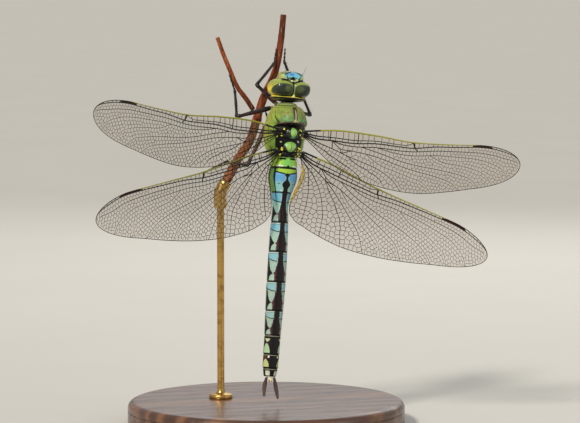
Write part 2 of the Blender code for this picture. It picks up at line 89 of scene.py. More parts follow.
# Head
EYE_MIDDLE = (1.95, 0.7, 9.55)
EYE_RADII = (3.05, 3.95, 2.3)
EYE_FULLNESS = 2.35
EYE_REAR = 7.75
CAPSULE_GIRTH = ((6.42, 1.5, -0.4, 3), (6.75, 3.5, -1.6, 3.8), (7.2, 4.2, -2.1, 4), (7.64, 4.3, -2.2, 4.1))
FACE_BACK = 10.6
FACE_FORM = ((-1.98, 1.5, 12.3), (-1.8, 2.3, 13), (-1.3, 2.72, 13.45), (-0.4, 2.9, 13.65),
    (0.6, 2.85, 13.6), (1.6, 2.7, 13.35), (1.72, 2.6, 13.1), (2.5, 2.45, 12.9), (3.3, 2.2, 12.55),
    (3.42, 2.1, 12.45), (4.4, 1.9, 12.2), (5.1, 1.2, 11.7))
LABIUM_GIRTH = ((10.48, 1.9, 3.6, 5.5), (9.6, 2.2, 3, 5.9), (8.4, 2.1, 2.8, 5.6), (7.8, 1.5, 3.2, 4.9))
ANTENNA_ROOT = (1.15, -2.45, 11.75)
ANTENNA_TIP = (2.7, -2.75, 14.6)

# Wings: hinge, lift and sweep; then the edges and main veins, by distance along the wing
WING_HINGE_X = 3.35
TIP_START = 0.79
TIP_DROOP = 1.2
WINGS = {"forewing_left": (-1, -3.1, 0, 14.5, -1.8), "forewing_right": (1, -3.1, 0, 14, 1.6),
    "hindwing_left": (-1, -2.5, -5.4, 9.5, 20), "hindwing_right": (1, -2.5, -5.4, 11, 21.5)}
FRONT_EDGE = {
    "fore": ((0, 0.3), (7, -0.6), (17, -0.4), (26, 0.3), (33.3, 0), (41, -0.6), (51.6, -1.7)),
    "hind": ((0, -0.3), (8, -0.6), (19.8, -0.2), (30, -0.6), (39.9, -1), (50.4, -1)),
}
REAR_EDGE = {
    "hind_left": ((0, 1.3), (1.2, 2.4), (2.6, 4.6), (3.6, 7.6), (4.2, 10.6), (5, 13.2), (6.6, 14.8),
        (9.5, 15.8), (16.5, 16.1), (26, 14.6), (35, 11.9), (39.9, 10.1), (50.4, 7.6)),
    "fore": ((0, 1.8), (3, 4.2), (7, 7.3), (13, 10.1), (19.8, 11.7), (27.5, 12.2), (35.8, 10.9),
        (41, 9.7), (51.6, 8.1)),
    "hind": ((0, 1.3), (0.85, 2.4), (1.4, 3.9), (1.75, 6), (1.98, 8.4), (2.2, 10.8), (2.8, 13),
        (4.5, 14.8), (7.7, 15.6), (11, 15.95), (16.5, 16.1), (26, 14.6), (35, 11.9), (39.9, 10.1),
        (50.4, 7.6)),
}
# Each vein: name, the vein it leaves, its pleat (up or down, mm), its radius, and points of
# distance along the wing and distance behind the front edge. The first point is where it starts.
VEINS = {
    "fore": (
        ("subcosta", None, -0.12, 0.085, ((0, 0.5), (3, 1.3), (7, 1.75), (11.5, 1.95), (16.8, 1.35),
            (22, 1.1), (25.2, 0.6), (26.1, 0))),
        ("radius", None, 0.22, 0.11, ((0, 0.8), (3, 1.9), (7, 2.45), (11.5, 2.65), (16.8, 1.95),
            (22, 1.6), (26.1, 1.35), (31, 0.72), (36, 0.6), (40, 0.5), (44.7, 0.5), (48.3, 0.45),
            (51, 0.05))),
        ("second_radial", "radius", -0.04, 0.075, ((6.7, 2.45), (8.5, 3.1), (11.5, 3.4), (16.8, 2.85),
            (22, 2.55), (26.1, 2.2), (31, 1.7), (36, 1.65), (41, 1.8), (45, 2), (48.5, 1.9), (50.6, 1.2))),
        ("third_radial", "second_radial", 0.12, 0.055, ((17.5, 2.8), (20, 3.15), (26.1, 3.15), (31, 2.75),
            (36, 2.9), (41, 3.35), (45, 4.1), (48, 5.3), (49.5, 7.5))),
        ("radial_supplement", "third_radial", 0, 0.045, ((30, 2.8), (33, 4.2), (37, 4.9), (41, 5.9),
            (44, 7.4), (45.6, 9.5))),
        ("fourth_radial", "second_radial", -0.1, 0.06, ((13.5, 3.2), (18, 4), (23, 4.85), (28, 5.5),
            (33.5, 6.3), (37.5, 7.2), (40.5, 8.4), (42.5, 10.6))),
        ("media", "radius", 0.12, 0.065, ((6.7, 2.45), (8.5, 4.1), (11.5, 4.45), (16.8, 4.9), (22, 5.8),
            (28, 6.9), (32, 7.8), (35.8, 9.2), (38.5, 11.6))),
        ("medial_supplement", "media", 0, 0.045, ((15, 4.8), (18, 6.6), (22, 7.5), (26, 8.4), (29.5, 9.8),
            (31.5, 12.4))),
        ("cubitus", None, -0.14, 0.075, ((0, 1.1), (3, 2.7), (6.7, 4.3), (10.3, 5.7), (13.5, 6.6),
            (17, 7.5), (20, 8.7), (22.5, 10.4), (24.3, 12.6))),
        ("second_cubital", "cubitus", 0.08, 0.05, ((10.3, 5.7), (13, 7.5), (16, 8.7), (18.5, 10),
            (20.6, 12.6))),
        ("anal", None, -0.05, 0.06, ((0, 1.3), (3, 3.4), (6.7, 6), (9.8, 7.9), (12.5, 9.3), (15, 11.6))),
    ),
    "hind": (
        ("subcosta", None, -0.12, 0.085, ((0, 0.5), (3, 1.05), (8, 1.15), (12, 1.05), (16, 0.85),
            (19.2, 0.5), (20.1, 0))),
        ("radius", None, 0.22, 0.11, ((0, 0.9), (3, 1.7), (8, 1.95), (12, 1.85), (16, 1.55), (20.1, 1.3),
            (25, 0.75), (30, 0.6), (36.6, 0.5), (42.9, 0.52), (46.8, 0.45), (49.8, 0.05))),
        ("second_radial", "radius", -0.04, 0.075, ((5.5, 1.85), (8, 2.6), (12, 2.65), (16, 2.4),
            (20.1, 2.15), (25, 1.65), (30, 1.6), (37, 1.8), (42, 2.1), (46.5, 2.2), (49.2, 1.2))),
        ("third_radial", "second_radial", 0.12, 0.055, ((14, 2.5), (16, 2.95), (20.1, 3.05), (25, 2.7),
            (30, 2.9), (37, 3.6), (42, 4.6), (46, 6.6), (47.6, 8.8))),
        ("radial_supplement", "third_radial", 0, 0.045, ((27, 2.8), (30, 4.4), (34, 5.3), (38, 6.7),
            (41.5, 8.8), (43, 11.5))),
        ("fourth_radial", "second_radial", -0.1, 0.06, ((11, 2.65), (14, 3.7), (20, 5), (26, 6.2),
            (31, 7.3), (35.5, 9), (38.5, 11.2), (39.8, 13))),
        ("media", "radius", 0.12, 0.065, ((5.5, 1.85), (8, 3.6), (12, 4.4), (16, 5.4), (21, 7), (26, 8.9),
            (30, 11.1), (32.5, 14.4))),
        ("medial_supplement", "media", 0, 0.045, ((12, 4.4), (15, 6.4), (19, 8.1), (23, 10.2), (26, 12.6),
            (27.8, 15.8))),
        ("cubitus", None, -0.14, 0.075, ((0, 1.3), (3, 2.3), (6, 3.4), (9, 4.7), (13, 6.9), (17, 9.4),
            (20.5, 12), (23.5, 16.2))),
        ("second_cubital", "cubitus", 0.08, 0.05, ((7.5, 4), (10, 6.3), (13, 8.9), (15.5, 11.9),
            (17.5, 16.9))),
        ("anal", None, -0.05, 0.06, ((0, 1.6), (2.5, 3), (5, 4.6), (7.5, 6.9), (9.5, 9.7), (11, 12.8),
            (12, 16.9))),
        ("second_anal", "anal", 0.05, 0.05, ((2.5, 3), (4, 6), (5.5, 9.2), (6.3, 12.5), (6.8, 16.6))),
    ),
}
# Distance along the wing of the cross vein that closes its root, of the notch in the front edge,
# and of the dark spot's two ends; and the breadth of the cells in the rear field
ARCH = {"fore": 6.7, "hind": 5.5}
NODUS = {"fore": 26.1, "hind": 20.1}
STIGMA = {"fore": (40, 44.7), "hind": (36.7, 43)}
REAR_FIELD_PITCH = {"fore": 0.98, "hind": 1.1}
# The pale web between the root of the hind wing and the body
WEB_ROUTE = ((2.15, -1.75, -7), (2.6, -2, -7.9), (3.1, -2.35, -8.7), (3.6, -2.62, -9.6))
RULER_STEPS = 1500
FILM_GRID = (150, 44)
FILM_HALF_DEPTH = 0.012

# Legs: coxa, knee, ankle and toe of each
LEGS = {
    "fore_left": ((-1.2, 5.1, 6.1), (-6, 6.5, 10.2), (-1.75, 7, 15.8), (-1.35, 7.3, 19.2)),
    "fore_right": ((1.2, 5.1, 6.1), (3.9, 7.3, 9.9), (0.75, 7, 16.4), (0.85, 7.3, 19.4)),
    "middle_left": ((-1.6, 6.3, 5.2), (-9.9, 8, 2.3), (-10.5, 9, 8.6), (-12.1, 8.9, 12)),
    "middle_right": ((1.6, 6.3, 5.2), (9.4, 9.8, 4.5), (5.2, 9.2, 11.6), (0.4, 8.9, 13.3)),
    "hind_left": ((-1.8, 7.3, 2.6), (-7.2, 5.6, -9.1), (-10.2, 12.6, -8.3), (-13.7, 14.6, -10.6)),
    "hind_right": ((1.8, 7.3, 2.6), (3, 12.8, -6.2), (-0.7, 11.6, 2.6), (-2.2, 11.1, 6.2)),
}

CERCUS_ROOTS = {"left": (-0.85, -0.35, -58.45), "right": (1, -0.35, -58.45)}
CERCUS_TIPS = {"left": (-0.95, 0.2, -63.1), "right": (2.5, 0.1, -63.5)}

STEM_ROUTE = ((-0.3, 7, 27.5), (-0.25, 7.6, 21), (-0.8, 8.5, 14), (-2.7, 9.3, 8.2), (-3.85, 10, 3.3),
    (-5, 11.2, -2.8), (-7.4, 12.4, -7.8), (-9.4, 13.6, -12.9))
BRANCH_ROUTE = ((-5.2, 9.9, 4.5), (-7, 9.7, 6.6), (-9.6, 9.6, 9.4), (-11.9, 9.6, 13.4), (-14, 9.4, 17.2),
    (-15.7, 9.2, 20.7))
# Stem and branch: route, radius at each end, rings, points round, knots and random seed.
# A knot is its share of the length, its turn round the stem, its height and its spread.
STEMS = {
    "stem": (STEM_ROUTE, (0.7, 1.12), 420, 72,
             ((0.12, 0.5, 0.1, 0.012), (0.33, 2.6, 0.16, 0.016), (0.5, 4.4, 0.12, 0.014),
              (0.61, 3.4, 0.22, 0.02), (0.78, 1.3, 0.14, 0.016), (0.9, 5.2, 0.1, 0.014)), 31),
    "branch": (BRANCH_ROUTE, (0.58, 0.48), 260, 48,
               ((0.22, 1, 0.16, 0.02), (0.52, 4, 0.2, 0.02), (0.8, 2.3, 0.16, 0.02)), 47),
}

# Display stand
BASE_RADIUS = 33
BASE_HEIGHT = 6
COLLAR_RADIUS = 1.5
COLLAR_LENGTH = 5
FOOT_RADIUS = 2.8
ROD_RADIUS = 0.85

# Points round and along the eyes, along and round the face; and above which angle an edge is sharp
EYE_POINTS = (128, 72)
FACE_POINTS = (130, 96)
SHARP_ANGLE = math.radians(50)
HAIR_RADIUS = 0.016


# ---- Shapes ----

def to_row(points):
    """Body millimetres into row metres: turn by the body's lean, move to its place, scale."""
    return (np.asarray(points, float) @ BODY_AXES.T + BODY_PLACE) * MM


def smooth_table(table, at):
    """Values between a table's rows, from a curve with a continuous slope.

    Each row is a place and its values. Between two rows the value is the cubic whose end slopes
    are those of the chords through the neighbouring rows.
    """
    rows = np.array(table, dtype=float)
    rows = rows[np.argsort(rows[:, 0])]
    places, values = rows[:, 0], rows[:, 1:]
    slopes = np.gradient(values, places, axis=0)
    at = np.clip(np.atleast_1d(np.asarray(at, float)), places[0], places[-1])
    left = np.clip(np.searchsorted(places, at) - 1, 0, len(places) - 2)
    span = places[left + 1] - places[left]
    t = ((at - places[left]) / span)[:, None]
    h = span[:, None]
    start = (1 + 2 * t) * (1 - t) ** 2 * values[left] + t * (1 - t) ** 2 * h * slopes[left]
    end = t * t * (3 - 2 * t) * values[left + 1] + t * t * (t - 1) * h * slopes[left + 1]
    return start + end


def smooth_route(points, steps):
    """A smooth curve through a few points, read at equal steps of their running length."""
    points = np.array(points, dtype=float)
    run = np.concatenate(([0], np.cumsum(np.linalg.norm(np.diff(points, axis=0), axis=1))))
    return smooth_table(np.column_stack((run, points)), np.linspace(0, run[-1], steps))


def bump(x, middle, width):
    """A bell: 1 at the middle, falling to nothing about two widths away."""
    return np.exp(-((x - middle) / width) ** 2)


def rise(x, start, end):
    """A smooth step from 0 at start to 1 at end: 3t^2 - 2t^3."""
    t = np.clip((x - start) / (end - start), 0, 1)
    return t * t * (3 - 2 * t)


def circle(count):
    """Equal turns once round, in radians."""
    return np.arange(count) * 2 * np.pi / count


def ripple(*places, scale=1, seed=0):
    """A rolling unevenness between about -1 and 1: a sum of sine waves in random directions."""
    rng = np.random.default_rng(seed)
    total = np.zeros(np.broadcast(*places).shape)
    for octave in range(5):
        pitch = scale * 1.7 ** octave
        for _ in range(3):
            direction = rng.normal(size=len(places))
            direction /= np.linalg.norm(direction)
            phase = rng.uniform(0, 2 * np.pi)
            wave = sum(d * p for d, p in zip(direction, places))
            total += np.sin(wave * pitch + phase) / 1.6 ** octave
    return total / 4


class Shape:
    """Points, faces and point values gathered for one mesh, in body millimetres."""

    def __init__(self):
        self.points = []
        self.faces = []
        self.maps = []
        self.values = {}
        self.total = 0

    def add(self, points, faces, uv=None, **values):
        """Add a patch: its points, lists of faces by point number, and a value for each point."""
        points = np.asarray(points, float).reshape(-1, 3)
        for block in faces:
            self.faces.append(np.asarray(block, int) + self.total)
            self.maps.append(None if uv is None else uv[np.asarray(block, int)])
        self.points.append(points)
        for name, value in values.items():
            row = np.broadcast_to(np.asarray(value, float).ravel() if np.ndim(value) else value,
                (len(points),))
            self.values.setdefault(name, []).append((self.total, row))
        self.total += len(points)
        return self

    def build(self, name, finish, slot=None, replaces=(), in_row=False):
        """Make the object, with its faces turned outwards, and set it on the body."""
        points = np.concatenate(self.points)
        points = points * MM if in_row else to_row(points)
        mesh = bpy.data.meshes.new(name)
        faces = [row for block in self.faces for row in block.tolist()]
        mesh.from_pydata(points.tolist(), [], faces)
        if self.maps and all(item is not None for item in self.maps):
            layer = mesh.uv_layers.new(name="OFBake")
            corners = np.concatenate([item.reshape(-1, 2) for item in self.maps])
            layer.data.foreach_set("uv", corners.astype(np.float32).ravel())
        for label, rows in self.values.items():
            full = np.zeros(len(points), np.float32)
            for start, row in rows:
                full[start:start + len(row)] = row
            made = mesh.attributes.new(label, "FLOAT", "POINT")
            made.data.foreach_set("value", full)
        bm = bmesh.new()
        bm.from_mesh(mesh)
        bmesh.ops.recalc_face_normals(bm, faces=bm.faces)
        bm.to_mesh(mesh)
        bm.free()
        mesh.shade_smooth()
        mesh.set_sharp_from_angle(angle=SHARP_ANGLE)
        mesh.materials.append(finish)
        piece = bpy.data.objects.new(name, mesh)
        bpy.context.scene.collection.objects.link(piece)
        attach(piece, BODY)
        if replaces:
            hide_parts(*replaces)
        return piece


def grid_faces(rows, columns, closed=True):
    """Quads of a grid of rows by columns, whose rows may close into rings."""
    across = np.arange(columns if closed else columns - 1)
    near = np.arange(rows - 1)[:, None] * columns
    beside = (across + 1) % columns
    return np.stack((near + across, near + beside, near + columns + beside, near + columns + across),
        axis=-1).reshape(-1, 4)


def fan_faces(first, count, middle):
    """Triangles from a ring of points to one point in its middle."""
    ring = np.arange(count)
    return np.stack((first + ring, first + (ring + 1) % count, np.full(count, middle)), axis=-1)


def add_rings(shape, rings, **values):
    """A closed skin over a row of equal rings: quads between them, and a fan at each end."""
    rings = np.asarray(rings, float)
    rows, columns = rings.shape[:2]
    ends = np.stack((rings[0].mean(axis=0), rings[-1].mean(axis=0)))
    points = np.concatenate((rings.reshape(-1, 3), ends))
    faces = (grid_faces(rows, columns), fan_faces(0, columns, rows * columns),
        fan_faces((rows - 1) * columns, columns, rows * columns + 1))
    spread = {}
    for name, value in values.items():
        if np.ndim(value) == 1 and len(value) == rows:
            value = np.concatenate((np.repeat(value, columns), (value[0], value[-1])))
        spread[name] = value
    return shape.add(points, faces, **spread)


def oval_rings(girth, heights, count):
    """Level ovals from rows of half width, back and belly: x = a cos t, y = middle + b sin t."""
    turn = circle(count)
    wide, back, belly = (girth[:, n:n + 1] for n in range(3))
    return np.stack((wide * np.cos(turn), (back + belly) / 2 + (belly - back) / 2 * np.sin(turn),
        np.repeat(heights[:, None], count, axis=1)), axis=-1)


def tube_rings(route, radii, sides, flat=1, flat_axis=(0.31, 0.95, 0.05)):
    """Rings carried along a route, square to it, each with its own radius.

    At each point the ring is radius * (cos a * aside + flat * sin a * up), where up is the part
    of flat_axis that is square to the route and aside is square to both.
    """
    route = np.asarray(route, float)
    heading = np.gradient(route, axis=0)
    heading /= np.linalg.norm(heading, axis=1)[:, None]
    axis = np.asarray(flat_axis, float)
    up = axis - (heading @ axis)[:, None] * heading
    up /= np.linalg.norm(up, axis=1)[:, None]
    aside = np.cross(up, heading)
    turn = circle(sides)[None, :, None]
    spread = np.cos(turn) * aside[:, None] + flat * np.sin(turn) * up[:, None]
    return route[:, None, :] + np.broadcast_to(radii, len(route))[:, None, None] * spread


def rings_round(heading, sides, axis):
    """Rings of radius 1 square to each heading, set out from the given body axis, or from X near it."""
    heading = heading / np.maximum(np.linalg.norm(heading, axis=1), 1e-9)[:, None]
    guide = np.where(np.abs(heading[:, axis:axis + 1]) < 0.8, np.eye(3)[axis], np.eye(3)[0])
    aside = np.cross(heading, guide)
    aside /= np.linalg.norm(aside, axis=1)[:, None]
    up = np.cross(aside, heading)
    turn = circle(sides)[None, :, None]
    return np.cos(turn) * aside[:, None] + np.sin(turn) * up[:, None]


def add_copies(shape, points, blocks, uv=None, **values):
    """Many small bodies at once: one for each row of points, all with the same blocks of faces."""
    count, each = points.shape[:2]
    offset = (np.arange(count) * each)[:, None, None]
    faces = [(block[None] + offset).reshape(-1, block.shape[1]) for block in blocks]
    spread = {name: np.repeat(np.broadcast_to(value, count), each) for name, value in values.items()}
    return shape.add(points, faces, uv=None if uv is None else uv(count, each), **spread)


def add_needles(shape, roots, tips, radii, sides=3, bend=None, uv=None, **values):
    """Many slim closed spikes at once, from a ring at each root to one point at each tip.

    With a bend, which is a shift for each spike, half way along there is a second ring.
    """
    roots, tips = np.asarray(roots, float), np.asarray(tips, float)
    spread = rings_round(tips - roots, sides, 2)
    radii = np.broadcast_to(radii, len(roots))[:, None, None]
    layers = [roots[:, None] + radii * spread]
    if bend is not None:
        layers.append(((roots + tips) / 2 + bend)[:, None] + 0.7 * radii * spread)
    layers.append(tips[:, None])
    top = (len(layers) - 2) * sides
    blocks = [grid_faces(2, sides) + level * sides for level in range(len(layers) - 2)]
    blocks += [fan_faces(top, sides, top + sides), np.arange(sides)[::-1][None]]
    return add_copies(shape, np.concatenate(layers, axis=1), blocks, uv, **values)


def add_struts(shape, starts, ends, radii, sides=4, **values):
    """Many short closed prisms at once, one from each start to its end."""
    starts, ends = np.asarray(starts, float), np.asarray(ends, float)
    spread = np.broadcast_to(radii, len(starts))[:, None, None] * rings_round(ends - starts, sides, 1)
    points = np.concatenate((starts[:, None] + spread, ends[:, None] + spread), axis=1)
    ring = np.arange(sides)
    blocks = (grid_faces(2, sides), ring[::-1][None], (sides + ring)[None])
    return add_copies(shape, points, blocks, **values)


def add_egg(shape, middle, radii, fullness=2, around=32, along=18, pole=2, **values):
    """A closed rounded form, |x/a|^n + |y/b|^n + |z/c|^n = 1, read over longitude and latitude."""
    return shape.add(*egg_points(middle, radii, fullness, around, along, pole), **values)


def egg_points(middle, radii, fullness, around, along, pole):
    """Points and faces of a rounded form whose poles lie on the axis of that number."""
    turn = circle(around)
    tilt = np.linspace(0, np.pi, along + 1)[1:-1][:, None]
    unit = np.stack((np.sin(tilt) * np.cos(turn), np.sin(tilt) * np.sin(turn),
        np.cos(tilt) * np.ones_like(turn)), axis=-1).reshape(-1, 3)
    unit = np.concatenate((unit, ((0, 0, 1), (0, 0, -1))))
    unit = np.roll(unit, pole - 2, axis=1)
    size = (np.abs(unit) ** fullness).sum(axis=1) ** (1 / fullness)
    points = np.asarray(middle) + np.asarray(radii) * unit / size[:, None]
    rows = along - 1
    faces = (grid_faces(rows, around), fan_faces(0, around, rows * around),
        fan_faces((rows - 1) * around, around, rows * around + 1))
    return points, faces


# ---- Finishes ----

def tone(code):
    """A colour from its six-figure code, as the linear numbers that shaders use."""
    parts = np.array([int(code[i:i + 2], 16) for i in (1, 3, 5)]) / 255
    linear = np.where(parts <= 0.04045, parts / 12.92, ((parts + 0.055) / 1.055) ** 2.4)
    return tuple(float(part) for part in linear)


class Value:
    """A number or vector inside a node tree that is added and compared like a plain number."""

    def __init__(self, tree, socket):
        self.tree = tree
        self.socket = socket

    def math(self, operation, *others):
        node = self.tree.nodes.new("ShaderNodeMath")
        node.operation = operation
        for place, item in enumerate((self,) + others):
            feed(item, node.inputs[place])
        return Value(self.tree, node.outputs[0])

    def __add__(self, other):
        return self.math("ADD", other)

    def __sub__(self, other):
        return self.math("SUBTRACT", other)

    def __rsub__(self, other):
        return self.math("MULTIPLY_ADD", -1, other)

    def __mul__(self, other):
        return self.math("MULTIPLY", other)

    def __truediv__(self, other):
        return self.math("DIVIDE", other)

    def __abs__(self):
        return self.math("ABSOLUTE")

    __radd__ = __add__
    __rmul__ = __mul__

    def low(self, other):
        return self.math("MINIMUM", other)

    def over(self, edge, soft=0.05):
        """1 where the value is above the edge, 0 below, with a soft step between."""
        node = self.tree.nodes.new("ShaderNodeMapRange")
        node.interpolation_type = "SMOOTHSTEP"
        shifted = isinstance(edge, Value)
        feed(self - edge if shifted else self, node.inputs["Value"])
        edge = 0 if shifted else edge
        node.inputs["From Min"].default_value = edge - soft
        node.inputs["From Max"].default_value = edge + soft
        return Value(self.tree, node.outputs["Result"])

    def under(self, edge, soft=0.05):
        return 1 - self.over(edge, soft)

    def within(self, low, high, soft=0.05):
        return self.over(low, soft) * self.under(high, soft)

    def curve(self, *points, interpolation="EASE"):
        """The height, at this value, of a curve through points that rise along their first number."""
        node = self.tree.nodes.new("ShaderNodeValToRGB")
        heights = [point[1] for point in points]
        start, span = points[0][0], points[-1][0] - points[0][0]
        floor, reach = min(heights), max(max(heights) - min(heights), 1e-6)
        ramp = node.color_ramp
        ramp.interpolation = interpolation
        for point in points[1:-1]:
            ramp.elements.new((point[0] - start) / span)
        for number, height in enumerate(heights):
            share = (height - floor) / reach
            ramp.elements[number].color = (share, share, share, 1)
        feed((self - start) / span, node.inputs["Fac"])
        return Value(self.tree, node.outputs["Color"]) * reach + floor

    def line(self, *points):
        """As curve, but straight from each point to the next."""
        return self.curve(*points, interpolation="LINEAR")


def feed(item, socket):
    """Link a value to a socket, or set the socket to a plain number or colour."""
    if isinstance(item, Value):
        item.tree.links.new(item.socket, socket)
    elif np.ndim(item) and len(item) == 3 and len(socket.default_value) == 4:
        socket.default_value = (*item, 1)
    else:
        socket.default_value = item


class Paint:
    """A colour built up in coats, each laid where its mask is 1. Colours go by name or code."""

    def __init__(self, tree, colours, place):
        self.tree = tree
        self.colours = colours
        self.place = place

    def blend(self, below, above, share):
        """A blend of two colours, each a value, three numbers, a name of the palette or a code."""
        node = self.tree.nodes.new("ShaderNodeMix")
        node.data_type = "RGBA"
        feed(share, node.inputs["Factor"])
        for item, socket in ((below, node.inputs[6]), (above, node.inputs[7])):
            feed(self.found(item), socket)
        return Value(self.tree, node.outputs[2])

    def found(self, colour):
        if not isinstance(colour, str):
            return colour
        return tone(colour) if colour.startswith("#") else self.colours[colour]

    def start(self, colour):
        self.colour = self.found(colour)

    def coat(self, colour, share):
        self.colour = self.blend(self.colour, colour, share)

    def grain(self, scale, **settings):
        return grain(self.tree, self.place, scale, **settings)

    def wobble(self, scale, **settings):
        """Soft variation between about -1 and 1."""
        return (self.grain(scale, **settings) - 0.5) * 2


def grain(tree, place, scale, detail=3, roughness=0.55, stretch=None):
    """Soft random variation, near 0.5 on average, of so many waves in a unit of the place."""
    if stretch:
        node = tree.nodes.new("ShaderNodeVectorMath")
        node.operation = "MULTIPLY"
        feed(place, node.inputs[0])
        node.inputs[1].default_value = stretch
        place = Value(tree, node.outputs[0])
    node = tree.nodes.new("ShaderNodeTexNoise")
    feed(place, node.inputs["Vector"])
    for label, number in (("Scale", scale), ("Detail", detail), ("Roughness", roughness)):
        node.inputs[label].default_value = number
    return Value(tree, node.outputs["Fac"])


def cells(tree, place, scale, jitter=1):
    """Distance inside a field of rounded cells."""
    node = tree.nodes.new("ShaderNodeTexVoronoi")
    feed(place, node.inputs["Vector"])
    node.inputs["Scale"].default_value = scale
    node.inputs["Randomness"].default_value = jitter
    return Value(tree, node.outputs["Distance"])


def new_group(name, outputs, inputs=()):
    """An empty shader node group with named sockets, and the two nodes at its ends."""
    tree = bpy.data.node_groups.new(name, "ShaderNodeTree")
    for label, kind, default in inputs:
        socket = tree.interface.new_socket(label, in_out="INPUT", socket_type=kind)
        socket.default_value = default
    for label, kind in outputs:
        tree.interface.new_socket(label, in_out="OUTPUT", socket_type=kind)
    return tree, tree.nodes.new("NodeGroupInput"), tree.nodes.new("NodeGroupOutput")


def use_group(tree, group, **inputs):
    """Place a group in a tree and return its outputs by name."""
    node = tree.nodes.new("ShaderNodeGroup")
    node.node_tree = group
    for label, item in inputs.items():
        feed(item, node.inputs[label])
    return {socket.name: Value(tree, socket) for socket in node.outputs}


def body_place_group():
    """Object coordinates turned into the body's own axes, in millimetres."""
    name = "Body place"
    if name in bpy.data.node_groups:
        return bpy.data.node_groups[name]
    tree, _, end = new_group(name, (("Place", "NodeSocketVector"), ("X", "NodeSocketFloat"),
        ("Y", "NodeSocketFloat"), ("Z", "NodeSocketFloat")))
    source = tree.nodes.new("ShaderNodeTexCoord")
    turn = tree.nodes.new("ShaderNodeMapping")
    turn.vector_type = "TEXTURE"
    turn.inputs["Location"].default_value = BODY_PLACE * MM
    turn.inputs["Rotation"].default_value = BODY_TURN.to_euler()
    turn.inputs["Scale"].default_value = (MM, MM, MM)
    tree.links.new(source.outputs["Object"], turn.inputs["Vector"])
    parts = tree.nodes.new("ShaderNodeSeparateXYZ")
    tree.links.new(turn.outputs["Vector"], parts.inputs["Vector"])
    tree.links.new(turn.outputs["Vector"], end.inputs["Place"])
    for label in "XYZ":
        tree.links.new(parts.outputs[label], end.inputs[label])
    return tree


def cuticle_group():
    """The fine leathery grain of an insect's shell: a height, and a mask for uneven gloss."""
    name = "Cuticle grain"
    if name in bpy.data.node_groups:
        return bpy.data.node_groups[name]
    tree, start, end = new_group(name, (("Height", "NodeSocketFloat"), ("Gloss", "NodeSocketFloat")),
        (("Place", "NodeSocketVector", (0, 0, 0)), ("Pitch", "NodeSocketFloat", 1)))
    scaled = tree.nodes.new("ShaderNodeVectorMath")
    scaled.operation = "SCALE"
    tree.links.new(start.outputs["Place"], scaled.inputs[0])
    tree.links.new(start.outputs["Pitch"], scaled.inputs["Scale"])
    place = Value(tree, scaled.outputs[0])
    pits = cells(tree, place, 9)
    wrinkles = grain(tree, place, 3.2, detail=4)
    feed(pits * 0.35 + wrinkles * 0.65, end.inputs["Height"])
    feed(grain(tree, place, 0.9, detail=5, roughness=0.6), end.inputs["Gloss"])
    return tree


class Finish(Paint):
    """The paint of one material, with its shader and the body's axes."""

    def __init__(self, name, first, colours=None, roughness=0.4, metallic=0, coat=0,
            coat_roughness=0.1, specular=0.5):
        self.material = bpy.data.materials.new(name)
        self.material.use_nodes = True
        tree = self.material.node_tree
        self.shader = tree.nodes["Principled BSDF"]
        for label, number in (("Roughness", roughness), ("Metallic", metallic), ("Coat Weight", coat),
                ("Coat Roughness", coat_roughness), ("Specular IOR Level", specular)):
            self.shader.inputs[label].default_value = number
        axes = use_group(tree, body_place_group())
        super().__init__(tree, colours, axes["Place"])
        self.start(first)
        self.x, self.y, self.z = (axes[label] for label in "XYZ")

    def attribute(self, name):
        node = self.tree.nodes.new("ShaderNodeAttribute")
        node.attribute_name = name
        return Value(self.tree, node.outputs["Fac"])

    def skin_turn(self):
        """Degrees round the trunk from the middle of the back, from the skin's own map."""
        node = self.tree.nodes.new("ShaderNodeUVMap")
        node.uv_map = "OFBake"
        parts = self.tree.nodes.new("ShaderNodeSeparateXYZ")
        self.tree.links.new(node.outputs["UV"], parts.inputs[0])
        return (Value(self.tree, parts.outputs["X"]) - 0.5) * 360

    def cells(self, scale, **settings):
        return cells(self.tree, self.place, scale, **settings)

    def rough(self, item, dull, shine):
        """Roughness that runs between two values as an item goes from 0.3 to 0.7."""
        feed(item.curve((0.3, dull), (0.7, shine)), self.shader.inputs["Roughness"])

    def raise_by(self, height, millimetres):
        """Bump the surface by a height that runs from 0 to 1."""
        node = self.tree.nodes.new("ShaderNodeBump")
        node.inputs["Distance"].default_value = millimetres * MM
        feed(height, node.inputs["Height"])
        self.tree.links.new(node.outputs["Normal"], self.shader.inputs["Normal"])

    def cuticle(self, pitch, millimetres, dull, shine):
        """Leathery grain in the bump, and gloss that runs between two roughnesses."""
        made = use_group(self.tree, cuticle_group(), Place=self.place, Pitch=pitch)
        self.raise_by(made["Height"], millimetres)
        self.rough(made["Gloss"], dull, shine)

    def done(self, *cuticle):
        """The material in its paint, with leathery grain where the numbers for it are given."""
        feed(self.colour, self.shader.inputs["Base Color"])
        if cuticle:
            self.cuticle(*cuticle)
        return self.material


def trunk_colours_group(colours):
    """Every marking of the trunk as one colour, from the turn round the body and its axes."""
    name = "Trunk markings"
    if name in bpy.data.node_groups:
        return bpy.data.node_groups[name]
    tree, start, end = new_group(name, (("Colour", "NodeSocketColor"),),
        (("Turn", "NodeSocketFloat", 0),))
    axes = use_group(tree, body_place_group())
    x, z = axes["X"], axes["Z"]
    turn = Value(tree, start.outputs["Turn"])
    paint = Paint(tree, colours, axes["Place"])
    wobble, fine = paint.wobble(0.9, detail=2), paint.wobble(3, detail=2)
    thorax = thorax_paint(paint, x, z, turn, wobble, fine)
    tail = tail_paint(paint, z, abs(turn), wobble, fine)
    feed(paint.blend(thorax, tail, z.under(SEGMENT_ENDS[0] + 0.05, 0.03)), end.inputs["Colour"])
    return tree


